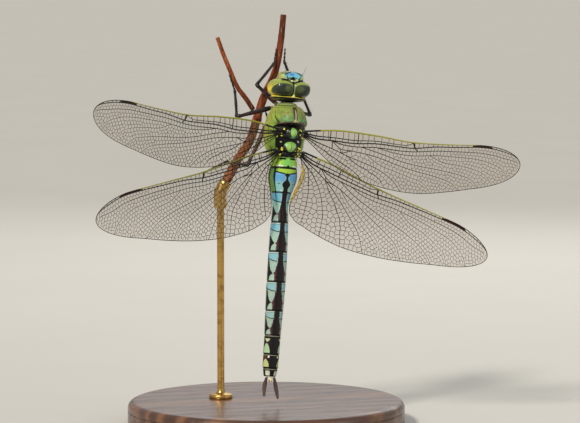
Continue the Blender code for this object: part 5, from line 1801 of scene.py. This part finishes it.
def make_veins(name, settings, finish):
    """The branching main veins, the edges, the nodus, the dark spot and the net of cross veins."""
    plan = WingPlan(name)
    fore = plan.kind == "fore"
    rng = np.random.default_rng(21 if fore else 22)
    shape = Shape()
    length = plan.length
    thick = settings.vein_scale
    for number, (vein, _, _, radius, points) in enumerate(VEINS[plan.kind], start=1):
        start, end = points[0][0], points[-1][0]
        inside = plan.rows[number] < plan.chord - 0.02
        last = plan.ruler[inside & (plan.ruler <= end)].max()
        u = np.linspace(start, min(last + 0.15, length), max(int((last - start) / 0.45), 4))
        d = plan.row(number, u)
        share = (u - start) / max(end - start, 1e-6)
        size = thick * radius * (1 - 0.45 * share) * (1 + 0.35 * bump(u, 0, 4))
        add_vein(shape, plan, u, d, size, 0.4 * rise(u / length, 0.3, 0.8) * (vein != "radius"))
    # front edge, round the tip, and back along the rear margin
    closing = 0.8 + 0.2 * np.sin(np.linspace(0.03, np.pi / 2, 50))
    u = np.concatenate((np.linspace(0, length * 0.8, 110), length * closing))
    edge_tint = np.where(u > 3.6, 1, 0) * rise(-u, -length * (0.97 if fore else 0.8), -length * 0.72)
    size = thick * (0.135 - 0.075 * rise(u / length, 0.1, 0.9))
    size = size * (1 + 0.35 * bump(u, NODUS[plan.kind], 0.5))
    add_vein(shape, plan, u, np.full_like(u, 0.03), size, edge_tint, sides=8)
    back = u[::-1]
    margin = plan.row(-1, back)
    add_vein(shape, plan, back, margin, thick * 0.05, 0.25)
    tip = np.linspace(0.03, margin[0], 5)
    add_vein(shape, plan, np.full(5, length), tip, thick * 0.05, 0.25)
    if not fore:
        # the thickened, ribbed inner margin, and the pale web between it and the body
        u = np.interp(np.linspace(2.3, 13.2, 60), plan.chord[:200], plan.ruler[:200])
        ribs = 1 + 0.22 * np.cos(np.arange(60) * 1.35)
        fade = rise(np.linspace(0, 1, 60), 0, 0.2) * rise(-np.linspace(0, 1, 60), -1, -0.7)
        right = plan.side > 0
        wide = (0.4 if right else 0.1) * ribs * (0.15 + 0.85 * fade)
        margin = plan.row(-1, u)
        add_vein(shape, plan, u + wide * 0.8, margin, wide, 3 if right else 0.4, sides=12, flat=0.4)
        add_vein(shape, plan, u + wide * 1.7, margin, 0.045, 0.3)
        web = smooth_route([(plan.side * x, y, z) for x, y, z in WEB_ROUTE], 20)
        web = tube_rings(web, 0.19 if right else 0.1, 10, flat=0.5, flat_axis=plan.upward)
        add_rings(shape, web, tint=4 if right else 0.5)
    root = np.linspace(0.03, plan.row(-1, 0), 6)
    add_vein(shape, plan, np.full(6, 0.02), root, thick * 0.1, 0)
    # cross veins between the front edge, the subcosta and the radius, before and after the nodus
    nodus = NODUS[plan.kind]
    stigma = STIGMA[plan.kind]
    for near in (0, 1):
        at = np.arange(1.2, nodus - 0.6, 1.55)
        at = at + rng.uniform(-0.25, 0.25, len(at))
        add_plan_struts(shape, plan, np.stack((at, plan.row(near, at) + 0.02), axis=-1),
            np.stack((at + 0.03, plan.row(near + 1, at)), axis=-1), 0.045 * thick, tint=0.1)
    at = np.arange(nodus + 1.1, length - 1.6, 1.15)
    at = at[(at < stigma[0] - 0.3) | (at > stigma[1] + 0.3)]
    at = at + rng.uniform(-0.15, 0.15, len(at))
    add_plan_struts(shape, plan, np.stack((at, np.full_like(at, 0.04)), axis=-1),
        np.stack((at + 0.08, plan.row(2, at)), axis=-1), 0.04 * thick, tint=0.3)
    for at in ((6.2, 12.8) if fore else (4.6, 10.2)):
        add_plan_struts(shape, plan, ((at, 0.05),), ((at, plan.row(2, at)),), 0.08 * thick, tint=0)
    bend, end = (nodus + 0.35, plan.row(2, nodus)), (nodus + 1, plan.row(3, nodus + 1))
    add_plan_struts(shape, plan, ((nodus - 0.1, 0), (nodus, 0.6), bend), ((nodus + 0.1, 0.7), bend, end),
        np.array((0.17, 0.13, 0.08)) * thick, sides=8, tint=0)
    arch = ARCH[plan.kind]
    media, cubitus = plan.names.index("media"), plan.names.index("cubitus")
    add_plan_struts(shape, plan, ((arch, plan.row(2, arch)),), ((arch + 0.1, plan.row(cubitus, arch)),),
        0.08 * thick, tint=0)
    # the triangle behind the arch
    first, last = arch + 1.9, arch + 1.9 + 2.9
    corner = (first + 0.5, plan.row(cubitus, first + 0.5))
    add_plan_struts(shape, plan, ((first, plan.row(media, first)), corner),
        (corner, (last, plan.row(media, last))), 0.06 * thick, tint=0.1)
    # the net: the rear field as a whole, then band by band from the radius to the cubitus
    walls = [field_walls(plan, rng)]
    walls += [band_walls(plan, number, rng) for number in range(2, cubitus)]
    for starts, ends in filter(None, walls):
        size = settings.net_radius * (1.25 - 0.45 * starts[:, 0] / length)
        add_plan_struts(shape, plan, starts, ends, size, tint=0.3 + 0.2 * rise(starts[:, 0], 3, 14))
    # the dark spot near the tip: a thin slab between the front edge and the radius
    share = np.linspace(0, 1, 26)[:, None]
    across = np.linspace(0, 1, 6)[None, :]
    u = stigma[0] + (stigma[1] - stigma[0]) * share + (across - 0.5) * 0.55 * (0.5 + share)
    d = across * plan.row(2, u)
    top, low = plan.place(u, d, 0.055), plan.place(u, d, -0.055)
    rings = np.concatenate((top, low[:, ::-1]), axis=1)
    add_rings(shape, rings, tint=2)
    return shape.build(name + "_veins", finish, "wing_vein")


def make_film(name, finish):
    """The clear sheet: one closed thin skin over the pleated surface between the two edges."""
    plan = WingPlan(name)
    u = plan.length * (0.5 - 0.5 * np.cos(np.linspace(0, np.pi, FILM_GRID[0])))
    share = 0.5 - 0.5 * np.cos(np.linspace(0, np.pi, FILM_GRID[1]))
    far, across = np.meshgrid(u, share, indexing="ij")
    d = across * plan.row(-1, far)
    ripples = 0.03 * ripple(far, d, scale=1.1, seed=8)
    top, low = (plan.place(far, d, ripples + half) for half in (FILM_HALF_DEPTH, -FILM_HALF_DEPTH))
    rings = np.concatenate((top, low[:, ::-1]), axis=1)
    front = np.concatenate((d, d[:, ::-1]), axis=1) / 4
    ends = (front[0].mean(), front[-1].mean())
    shape = Shape()
    add_rings(shape, rings, front=np.concatenate((front.ravel(), ends)))
    return shape.build(name + "_film", finish, "wing_membrane", (name,))


# ---- Legs ----

# Upper leg, shin and foot: share of each place along the part, and the radius there
LEG_SIZE = 1.2
LEG_PARTS = (
    ((0, 0.3), (0.06, 0.42), (0.2, 0.5), (0.55, 0.44), (0.88, 0.36), (0.96, 0.4), (1, 0.26)),
    ((0, 0.28), (0.04, 0.36), (0.1, 0.31), (0.5, 0.29), (0.92, 0.28), (0.97, 0.31), (1, 0.2)),
    ((0, 0.16), (0.05, 0.21), (0.22, 0.15), (0.28, 0.2), (0.52, 0.14), (0.58, 0.19), (0.9, 0.13),
        (0.96, 0.18), (1, 0.11)),
)


# Spines of each part: pitch, length, share of the part that they cover, radius
SPINES = ((1, 0.42, 0.86, 0.026), (0.62, 1.15, 0.9, 0.036), (0.45, 0.22, 0.8, 0.026))
# Where each pair's hips sink into the thorax, and the hip's radius along its length
HIP_ROOTS = {"fore": (1, 3.4, 5), "middle": (1.3, 4.4, 3.9), "hind": (1.5, 5.6, 1.6)}
HIP_RADII = ((0, 0.84), (0.45, 0.8), (0.66, 0.62), (0.74, 0.42), (0.8, 0.4), (0.88, 0.5), (0.96, 0.46),
    (1, 0.3))


def add_hip(skin, name, start, heading):
    """A stout tapered hip from inside the thorax to the top of the upper leg, with a ring before it."""
    pair, side = name.split("_")
    root = np.array(HIP_ROOTS[pair]) * ((-1, 1, 1) if side == "left" else (1, 1, 1))
    steps = np.linspace(0, 1, 40)
    end = start + heading * 0.3
    middle = start * 0.75 + root * 0.25 - heading * 0.1
    route = (np.outer((1 - steps) ** 2, root) + np.outer(2 * steps * (1 - steps), middle)
        + np.outer(steps ** 2, end))
    add_rings(skin, tube_rings(route, smooth_table(HIP_RADII, steps)[:, 0], 20), down=0)


def make_leg(name, finish):
    """Upper leg, shin and foot, each swelling at its joints, with rows of spines and two claws."""
    points = [np.array(point) for point in LEGS[name]]
    skin, spines = Shape(), Shape()
    rng = np.random.default_rng(sum(name.encode()))
    inner = np.array((0, -1, 0.25)) if name.startswith("fore") else np.array((0, -0.8, 0.6))
    for number, table in enumerate(LEG_PARTS):
        start, end = points[number], points[number + 1]
        steps = np.linspace(0, 1, 60)
        long = np.linalg.norm(end - start)
        bow = 0.16 * np.sin(np.pi * steps)[:, None] * np.array((0, -1, 0)) * (number == 1)
        route = start + np.outer(steps, end - start) + bow
        radii = smooth_table(table, steps)[:, 0] * LEG_SIZE
        radii = np.maximum(radii, 0.05)
        add_rings(skin, tube_rings(route, radii, 18), down=np.clip(number + steps * 0.999, 0, 3))
        if number < 2:
            add_egg(skin, end, ((0.33, 0.24)[number] * LEG_SIZE,) * 3, 2, 18, 10, down=number + 1)
        heading = (end - start) / long
        if number == 0:
            add_hip(skin, name, start, heading)
        guide = inner - heading * (inner @ heading)
        guide /= np.linalg.norm(guide)
        aside = np.cross(heading, guide)
        pitch, reach, covered, radius = SPINES[number]
        count = max(int(long * covered / pitch), 2)
        for row in (-1, 1):
            share = (np.arange(count) + 0.6) / count * 0.94
            bowed = np.outer(np.interp(share, steps, bow[:, 1]), (0, 1, 0))
            base = start + np.outer(share, end - start) + bowed
            out = guide * math.cos(0.6) + aside * row * math.sin(0.6)
            foot = base + out * np.interp(share, steps, radii)[:, None] * 0.6
            lean = out * 0.86 + heading * 0.5
            grow = reach * rng.uniform(0.8, 1.1, count)[:, None] * (1 - 0.35 * share[:, None])
            add_needles(spines, foot, foot + lean * grow, radius, sides=5, bend=heading[None] * -0.04,
                down=1.5)
    # two claws at the end of the foot
    heading = points[3] - points[2]
    heading /= np.linalg.norm(heading)
    side = np.cross(heading, inner)
    side /= np.linalg.norm(side)
    for row in (-1, 1):
        tip = points[3] + heading * 0.42 + side * row * 0.26 - inner * 0.25
        add_needles(spines, [points[3] - heading * 0.05 + side * row * 0.04], [tip], 0.055, sides=6,
            bend=np.array([heading * 0.1 + side * row * 0.04]), down=1.5)
    nodes = tuple(f"{word}_{name}" for word in ("femur", "tibia", "tarsus"))
    skin.build("leg_" + name, finish, "leg_cuticle", nodes)
    spines.build("spines_" + name, finish, "leg_cuticle")


# ---- Perch and stand ----

def bark_tube(shape, route, radii, sides, knots, seed):
    """A stem: a tube with lengthwise grooves, low swellings, knots, and a bevelled cut at each end.

    Its radius is the plain one times 1 + grooves (a ripple that is long along the stem and short
    round it) + a slow ripple, plus a bell for each knot.
    """
    rows = len(route)
    along = np.linspace(0, 1, rows)[:, None]
    turn = circle(sides)[None, :]
    run = along * np.linalg.norm(np.diff(route, axis=0), axis=1).sum()
    round_x, round_y = np.cos(turn), np.sin(turn)
    groove = ripple(run * 0.5, round_x * 3, round_y * 3, scale=1.6, seed=seed)
    slow = ripple(run * 0.35, round_x * 0.6, round_y * 0.6, scale=1, seed=seed + 1)
    grow = 1 + 0.035 * groove + 0.06 * slow
    for place, angle, height, wide in knots:
        off = np.angle(np.exp(1j * (turn - angle)))
        grow = grow + height * bump(along, place, wide) * (0.35 + bump(off, 0, 0.6))
    bevel = 1 - 0.1 * bump(along, 0, 0.004) - 0.1 * bump(along, 1, 0.004)
    rings = tube_rings(route, radii, sides)
    middle = route[:, None, :]
    rings = middle + (rings - middle) * (grow * bevel)[..., None]
    caps = [[middle[end] + (rings[end] - middle[end]) * share for share in (0.3, 0.6, 0.86)]
        for end in (0, -1)]
    rings = np.concatenate((np.array(caps[0]), rings, np.array(caps[1][::-1])))
    cut = np.zeros(rows + 6)
    cut[:3] = cut[-3:] = 1
    runs = np.concatenate((np.zeros(3), along[:, 0], np.ones(3)))
    add_rings(shape, rings, cut=cut, along=runs)


def make_perch(settings):
    """The cut stem that the feet hold and the thin branch that forks from it."""
    finish = bark_finish(settings)
    for name, (places, radii, rows, sides, knots, seed) in STEMS.items():
        shape = Shape()
        bark_tube(shape, smooth_route(places, rows), np.linspace(*radii, rows), sides, knots, seed)
        shape.build(name + "_bark", finish, "perch_bark", ("perch_" + name,))


def disc_rings(profile, sides, shift=(0, 0)):
    """Level rings about an upright axis, one for each (height, radius)."""
    turn = circle(sides)
    height, reach = (np.array(column)[:, None] for column in zip(*profile))
    return np.stack((reach * np.cos(turn) + shift[0], reach * np.sin(turn) + shift[1],
        np.repeat(height, sides, axis=1)), axis=-1)


def make_stand(settings):
    """A turned disc of wood, a brass rod on a foot plate, and the collar that holds the stem."""
    base, top = BASE_RADIUS, BASE_HEIGHT
    curve = np.linspace(0, np.pi / 2, 12)
    profile = [(0, base - 0.5), (0.12, base - 0.2), (0.5, base)]
    profile += [(top - 2.4, base), (top - 2.3, base - 0.18), (top - 2.1, base - 0.18), (top - 2, base)]
    profile += [(top - 1.6 + 1.6 * math.sin(t), base - 1.6 + 1.6 * math.cos(t)) for t in curve]
    profile += [(top, base * share) for share in (0.93, 0.8, 0.55, 0.3, 0.1)]
    shape = Shape()
    add_rings(shape, disc_rings([(0, base * share) for share in (0.2, 0.6, 0.9)] + profile, 192))
    shape.build("base_wood", wood_finish(settings), "stand_wood", ("stand_base",), in_row=True)

    brass = brass_finish()
    route = smooth_route(STEM_ROUTE, 14)
    end, before = to_row(route[-1]) / MM, to_row(route[-2]) / MM
    heading = (end - before) / np.linalg.norm(end - before)
    mouth = end + heading * 0.1
    bend = mouth + heading * COLLAR_LENGTH * 0.55
    foot = bend - np.array((0, 0, COLLAR_LENGTH * 0.75))
    steps = 48
    share = np.linspace(0, 1, steps)
    radii = COLLAR_RADIUS - 0.12 * (1 - rise(share, 0, 0.03)) - 0.12 * rise(share, 0.97, 1)
    radii = radii + 0.06 * bump(share, 0.1, 0.03) - 0.05 * bump(share, 0.16, 0.012)
    shape = Shape()
    add_rings(shape, tube_rings(smooth_route((mouth, bend, foot), steps), radii, 56))
    shape.build("collar_brass", brass, "stand_brass", ("stand_collar",), in_row=True)

    rod_top = foot[2] + 0.4
    plate = top + 1.1
    profile = [(top + 0.02, 2.75), (top + 0.1, FOOT_RADIUS), (plate - 0.35, FOOT_RADIUS),
        (plate - 0.1, 2.68), (plate, 2.4), (plate + 0.02, 1.5), (plate + 0.25, 1.12), (plate + 0.7, 0.92),
        (plate + 1.4, ROD_RADIUS), (rod_top, ROD_RADIUS)]
    shape = Shape()
    add_rings(shape, disc_rings(profile, 64, (foot[0], foot[1])))
    shape.build("rod_brass", brass, "stand_brass", ("stand_rod",), in_row=True)


# ---- Settings ----

def colour_setting(name, description, code):
    """A colour the user may change, given by its six-figure code."""
    return bpy.props.FloatVectorProperty(name=name, description=description, subtype="COLOR", size=3,
        min=0, max=1, default=tone(code))


def size_setting(name, description, default, low, high, **more):
    """A number the user may change, between two limits."""
    return bpy.props.FloatProperty(name=name, description=description, default=default, min=low, max=high,
        **more)


def count_setting(name, description, default, low, high):
    """A whole number the user may change, between two limits."""
    return bpy.props.IntProperty(name=name, description=description, default=default, min=low, max=high)


class DragonflyBodySettings(bpy.types.PropertyGroup):
    """Sizes and colours of the head, thorax and tail."""

    green: colour_setting("Green", "Sides and front of the thorax", "#6d9640")
    flank: colour_setting("Flank", "Yellow-green low on the sides", "#a2ac38")
    turquoise: colour_setting("Turquoise", "Stain beside the keel of the thorax", "#3f8a5c")
    tail_blue: colour_setting("Tail blue", "Blue of the tail's front rings", "#86b9b8")
    band_blue: colour_setting("Band blue", "Bright band behind each joint", "#62a9c4")
    patch_blue: colour_setting("Patch blue", "Patches on the second ring", "#5b98c4")
    tail_dark: colour_setting("Tail dark", "Stripe and side marks of the tail", "#130b0d")
    face_blue: colour_setting("Face blue", "Shelf above the face", "#63b0cc")
    trunk_columns: count_setting("Columns round", "Points round the trunk skin", 128, 48, 140)
    thorax_rings: count_setting("Thorax rings", "Rings of points on the thorax", 150, 40, 180)
    tail_rings: count_setting("Tail rings", "Rings of points on the tail", 560, 120, 580)
    coat_depth: size_setting("Coat depth", "How deep the skin lies under the hairs, mm", 0.12, 0, 0.3)
    hair_count: count_setting("Hairs", "Number of fine hairs on the thorax", 5200, 100, 9000)
    hair_length: size_setting("Hair length", "Length of a hair in millimetres", 0.5, 0.1, 1.5)


class DragonflyWingSettings(bpy.types.PropertyGroup):
    """Colours of the film and veins, and how stout the veins are."""

    film: colour_setting("Film", "Stain of the clear sheet", "#7d5e1e")
    film_cover: size_setting("Film cover", "How much of the light each face of the film stops", 0.13, 0,
        1, subtype="FACTOR")
    vein_dark: colour_setting("Dark veins", "Main veins near the body", "#070403")
    vein_fine: colour_setting("Fine veins", "Net of cross veins", "#1a0f08")
    vein_front: colour_setting("Front edge", "Yellow front edge", "#8f8c2e")
    vein_scale: size_setting("Vein scale", "Stoutness of the main veins", 1.55, 0.4, 2.5)
    net_radius: size_setting("Net radius", "Radius of the fine cross veins, mm", 0.047, 0.01, 0.08)


class DragonflyStageSettings(bpy.types.PropertyGroup):
    """Perch, stand, floor, light and camera."""

    bark: colour_setting("Bark", "Main colour of the stem", "#74341a")
    wood: colour_setting("Wood", "Main colour of the turned base", "#5a3722")
    floor_colour: colour_setting("Floor", "Floor of the stage", "#c4c1ba")
    light: size_setting("Light", "Strength of the studio lights", 1, 0, 4)
    lens: size_setting("Lens", "Focal length of the camera", 200.5, 35, 400, unit="CAMERA")


# ---- Operators ----

class DRAGONFLY_OT_trunk(bpy.types.Operator):
    """Make the skin of the neck, thorax and tail"""

    bl_idname = "dragonfly.trunk"
    bl_label = "Trunk skin"

    def execute(self, context):
        settings = context.scene.dragonfly_body
        make_trunk(settings, palette(settings))
        return {"FINISHED"}


class DRAGONFLY_OT_hair(bpy.types.Operator):
    """Make the fine hairs of the thorax"""

    bl_idname = "dragonfly.hair"
    bl_label = "Thorax hair"

    def execute(self, context):
        settings = context.scene.dragonfly_body
        make_hair(settings, palette(settings))
        return {"FINISHED"}


class DRAGONFLY_OT_eyes(bpy.types.Operator):
    """Make the two eyes"""

    bl_idname = "dragonfly.eyes"
    bl_label = "Eyes"

    def execute(self, context):
        make_eyes(palette(context.scene.dragonfly_body))
        return {"FINISHED"}


class DRAGONFLY_OT_head(bpy.types.Operator):
    """Make the face, the rear of the head, the blister before the eyes and the feelers"""

    bl_idname = "dragonfly.head"
    bl_label = "Head"

    def execute(self, context):
        make_head(palette(context.scene.dragonfly_body))
        return {"FINISHED"}


class DRAGONFLY_OT_plates(bpy.types.Operator):
    """Make the shields between the wings and the knuckles at their roots"""

    bl_idname = "dragonfly.plates"
    bl_label = "Shield plates"

    def execute(self, context):
        make_plates(palette(context.scene.dragonfly_body))
        return {"FINISHED"}


class DRAGONFLY_OT_tail_end(bpy.types.Operator):
    """Make the claspers and the tail plate"""

    bl_idname = "dragonfly.tail_end"
    bl_label = "Tail end"

    def execute(self, context):
        make_tail_end(palette(context.scene.dragonfly_body))
        return {"FINISHED"}


class DRAGONFLY_OT_wings(bpy.types.Operator):
    """Make the film and the veins of all four wings"""

    bl_idname = "dragonfly.wings"
    bl_label = "Wings"

    def execute(self, context):
        settings = context.scene.dragonfly_wings
        film, veins = membrane_finish(settings), vein_finish(settings)
        for name in WINGS:
            make_film(name, film)
            make_veins(name, settings, veins)
        return {"FINISHED"}


class DRAGONFLY_OT_legs(bpy.types.Operator):
    """Make the six legs with their spines and claws"""

    bl_idname = "dragonfly.legs"
    bl_label = "Legs"

    def execute(self, context):
        finish = leg_finish(palette(context.scene.dragonfly_body))
        for name in LEGS:
            make_leg(name, finish)
        return {"FINISHED"}


class DRAGONFLY_OT_perch(bpy.types.Operator):
    """Make the cut stem and its branch"""

    bl_idname = "dragonfly.perch"
    bl_label = "Perch"

    def execute(self, context):
        make_perch(context.scene.dragonfly_stage)
        return {"FINISHED"}


class DRAGONFLY_OT_stand(bpy.types.Operator):
    """Make the wooden base, the brass rod and the collar"""

    bl_idname = "dragonfly.stand"
    bl_label = "Stand"

    def execute(self, context):
        make_stand(context.scene.dragonfly_stage)
        return {"FINISHED"}


# The camera looks this far beside and above the body's origin (mm), from so far away (m)
VIEW_SHIFT = (0.706, -19.41)
VIEW_DISTANCE = 0.76
VIEW_TILT = math.radians(5)
# Lights: place beside, above and before the body (m), breadth (0 for an even beam), power, colour
LIGHTS = (
    ("key_light", (-0.5, 0.66, 0.84), 0, 2.9, (1, 0.96, 0.88)),
    ("side_light", (0.45, 0.1, 0.3), 0.35, 0.5, (0.9, 0.95, 1)),
    ("rear_light", (0.1, 0.3, -0.4), 0.4, 0.7, (1, 1, 1)),
)


def view_axes():
    """The camera's right, up and backward directions: 21 degrees to the left of the front, 5 up."""
    level = math.cos(VIEW_TILT)
    back = Vector((math.sin(VIEW_TURN) * level, -math.cos(VIEW_TURN) * level, math.sin(VIEW_TILT)))
    return ACROSS, back.cross(ACROSS), back


def add_light(name, place, aim, size, power, colour):
    """A square area light that faces its aim, or an even broad beam where size is 0."""
    lamp = bpy.data.lights.new(name, "AREA" if size else "SUN")
    if size:
        lamp.shape = "SQUARE"
        lamp.size = size
    else:
        lamp.angle = math.radians(9)
    lamp.energy = power
    lamp.color = colour
    item = bpy.data.objects.new(name, lamp)
    item.location = place
    item.rotation_euler = (aim - place).to_track_quat("-Z", "Y").to_euler()
    bpy.context.scene.collection.objects.link(item)


class DRAGONFLY_OT_stage(bpy.types.Operator):
    """Set the floor, the lights and the camera"""

    bl_idname = "dragonfly.stage"
    bl_label = "Stage"

    def execute(self, context):
        settings = context.scene.dragonfly_stage
        scene = context.scene
        right, up, back = view_axes()
        middle = Vector(BODY_PLACE * MM)
        aim = middle + (VIEW_SHIFT[0] * right + VIEW_SHIFT[1] * up) * MM

        mesh = bpy.data.meshes.new("floor")
        rings = disc_rings([(0, reach) for reach in (14000, 4000, 1000, 200, 60)], 96) * MM
        points = np.concatenate((rings.reshape(-1, 3), ((0, 0, 0),)))
        faces = grid_faces(5, 96).tolist() + fan_faces(4 * 96, 96, 5 * 96).tolist()
        mesh.from_pydata(points.tolist(), [], faces)
        mesh.materials.append(floor_finish(settings))
        floor = bpy.data.objects.new("floor", mesh)
        scene.collection.objects.link(floor)

        world = bpy.data.worlds.new("pale_room")
        world.use_nodes = True
        world.node_tree.nodes["Background"].inputs["Color"].default_value = (0.86, 0.86, 0.84, 1)
        world.node_tree.nodes["Background"].inputs["Strength"].default_value = 0.5
        scene.world = world
        scene.view_settings.view_transform = "Standard"

        for name, (aside, above, behind), size, power, colour in LIGHTS:
            place = middle + (aside * right + above * up + behind * back)
            add_light(name, place, middle, size, power * settings.light, colour)

        camera = bpy.data.cameras.new("camera")
        camera.sensor_width = 36
        camera.lens = settings.lens
        camera.clip_start = 0.01
        camera.clip_end = 40
        item = bpy.data.objects.new("camera", camera)
        turn = Matrix((right, up, back)).transposed().to_4x4()
        item.matrix_world = Matrix.Translation(aim + back * VIEW_DISTANCE) @ turn
        scene.collection.objects.link(item)
        scene.camera = item
        return {"FINISHED"}


class DRAGONFLY_PT_panel(bpy.types.Panel):
    """Settings and steps of the dragonfly model"""

    bl_idname = "DRAGONFLY_PT_panel"
    bl_label = "Dragonfly"
    bl_space_type = "VIEW_3D"
    bl_region_type = "UI"
    bl_category = "Dragonfly"

    def draw(self, context):
        layout = self.layout
        for title, name, kind in (("Body", "dragonfly_body", DragonflyBodySettings),
                ("Wings", "dragonfly_wings", DragonflyWingSettings),
                ("Perch, stand and stage", "dragonfly_stage", DragonflyStageSettings)):
            box = layout.box()
            box.label(text=title)
            for label in kind.__annotations__:
                box.prop(getattr(context.scene, name), label)
        column = layout.column(align=True)
        for operator in OPERATORS:
            column.operator(operator.bl_idname)


OPERATORS = (DRAGONFLY_OT_trunk, DRAGONFLY_OT_hair, DRAGONFLY_OT_eyes, DRAGONFLY_OT_head,
             DRAGONFLY_OT_plates, DRAGONFLY_OT_tail_end, DRAGONFLY_OT_wings, DRAGONFLY_OT_legs,
             DRAGONFLY_OT_perch, DRAGONFLY_OT_stand, DRAGONFLY_OT_stage)
GROUPS = (("dragonfly_body", DragonflyBodySettings), ("dragonfly_wings", DragonflyWingSettings),
          ("dragonfly_stage", DragonflyStageSettings))


def register():
    for name, kind in GROUPS:
        bpy.utils.register_class(kind)
        setattr(bpy.types.Scene, name, bpy.props.PointerProperty(type=kind))
    for operator in OPERATORS:
        bpy.utils.register_class(operator)
    bpy.utils.register_class(DRAGONFLY_PT_panel)


def unregister():
    bpy.utils.unregister_class(DRAGONFLY_PT_panel)
    for operator in reversed(OPERATORS):
        bpy.utils.unregister_class(operator)
    for name, kind in reversed(GROUPS):
        delattr(bpy.types.Scene, name)
        bpy.utils.unregister_class(kind)


def main():
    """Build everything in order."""
    register()
    for operator in OPERATORS:
        getattr(bpy.ops.dragonfly, operator.bl_idname.partition(".")[2])()


if __name__ == "__main__":
    main()
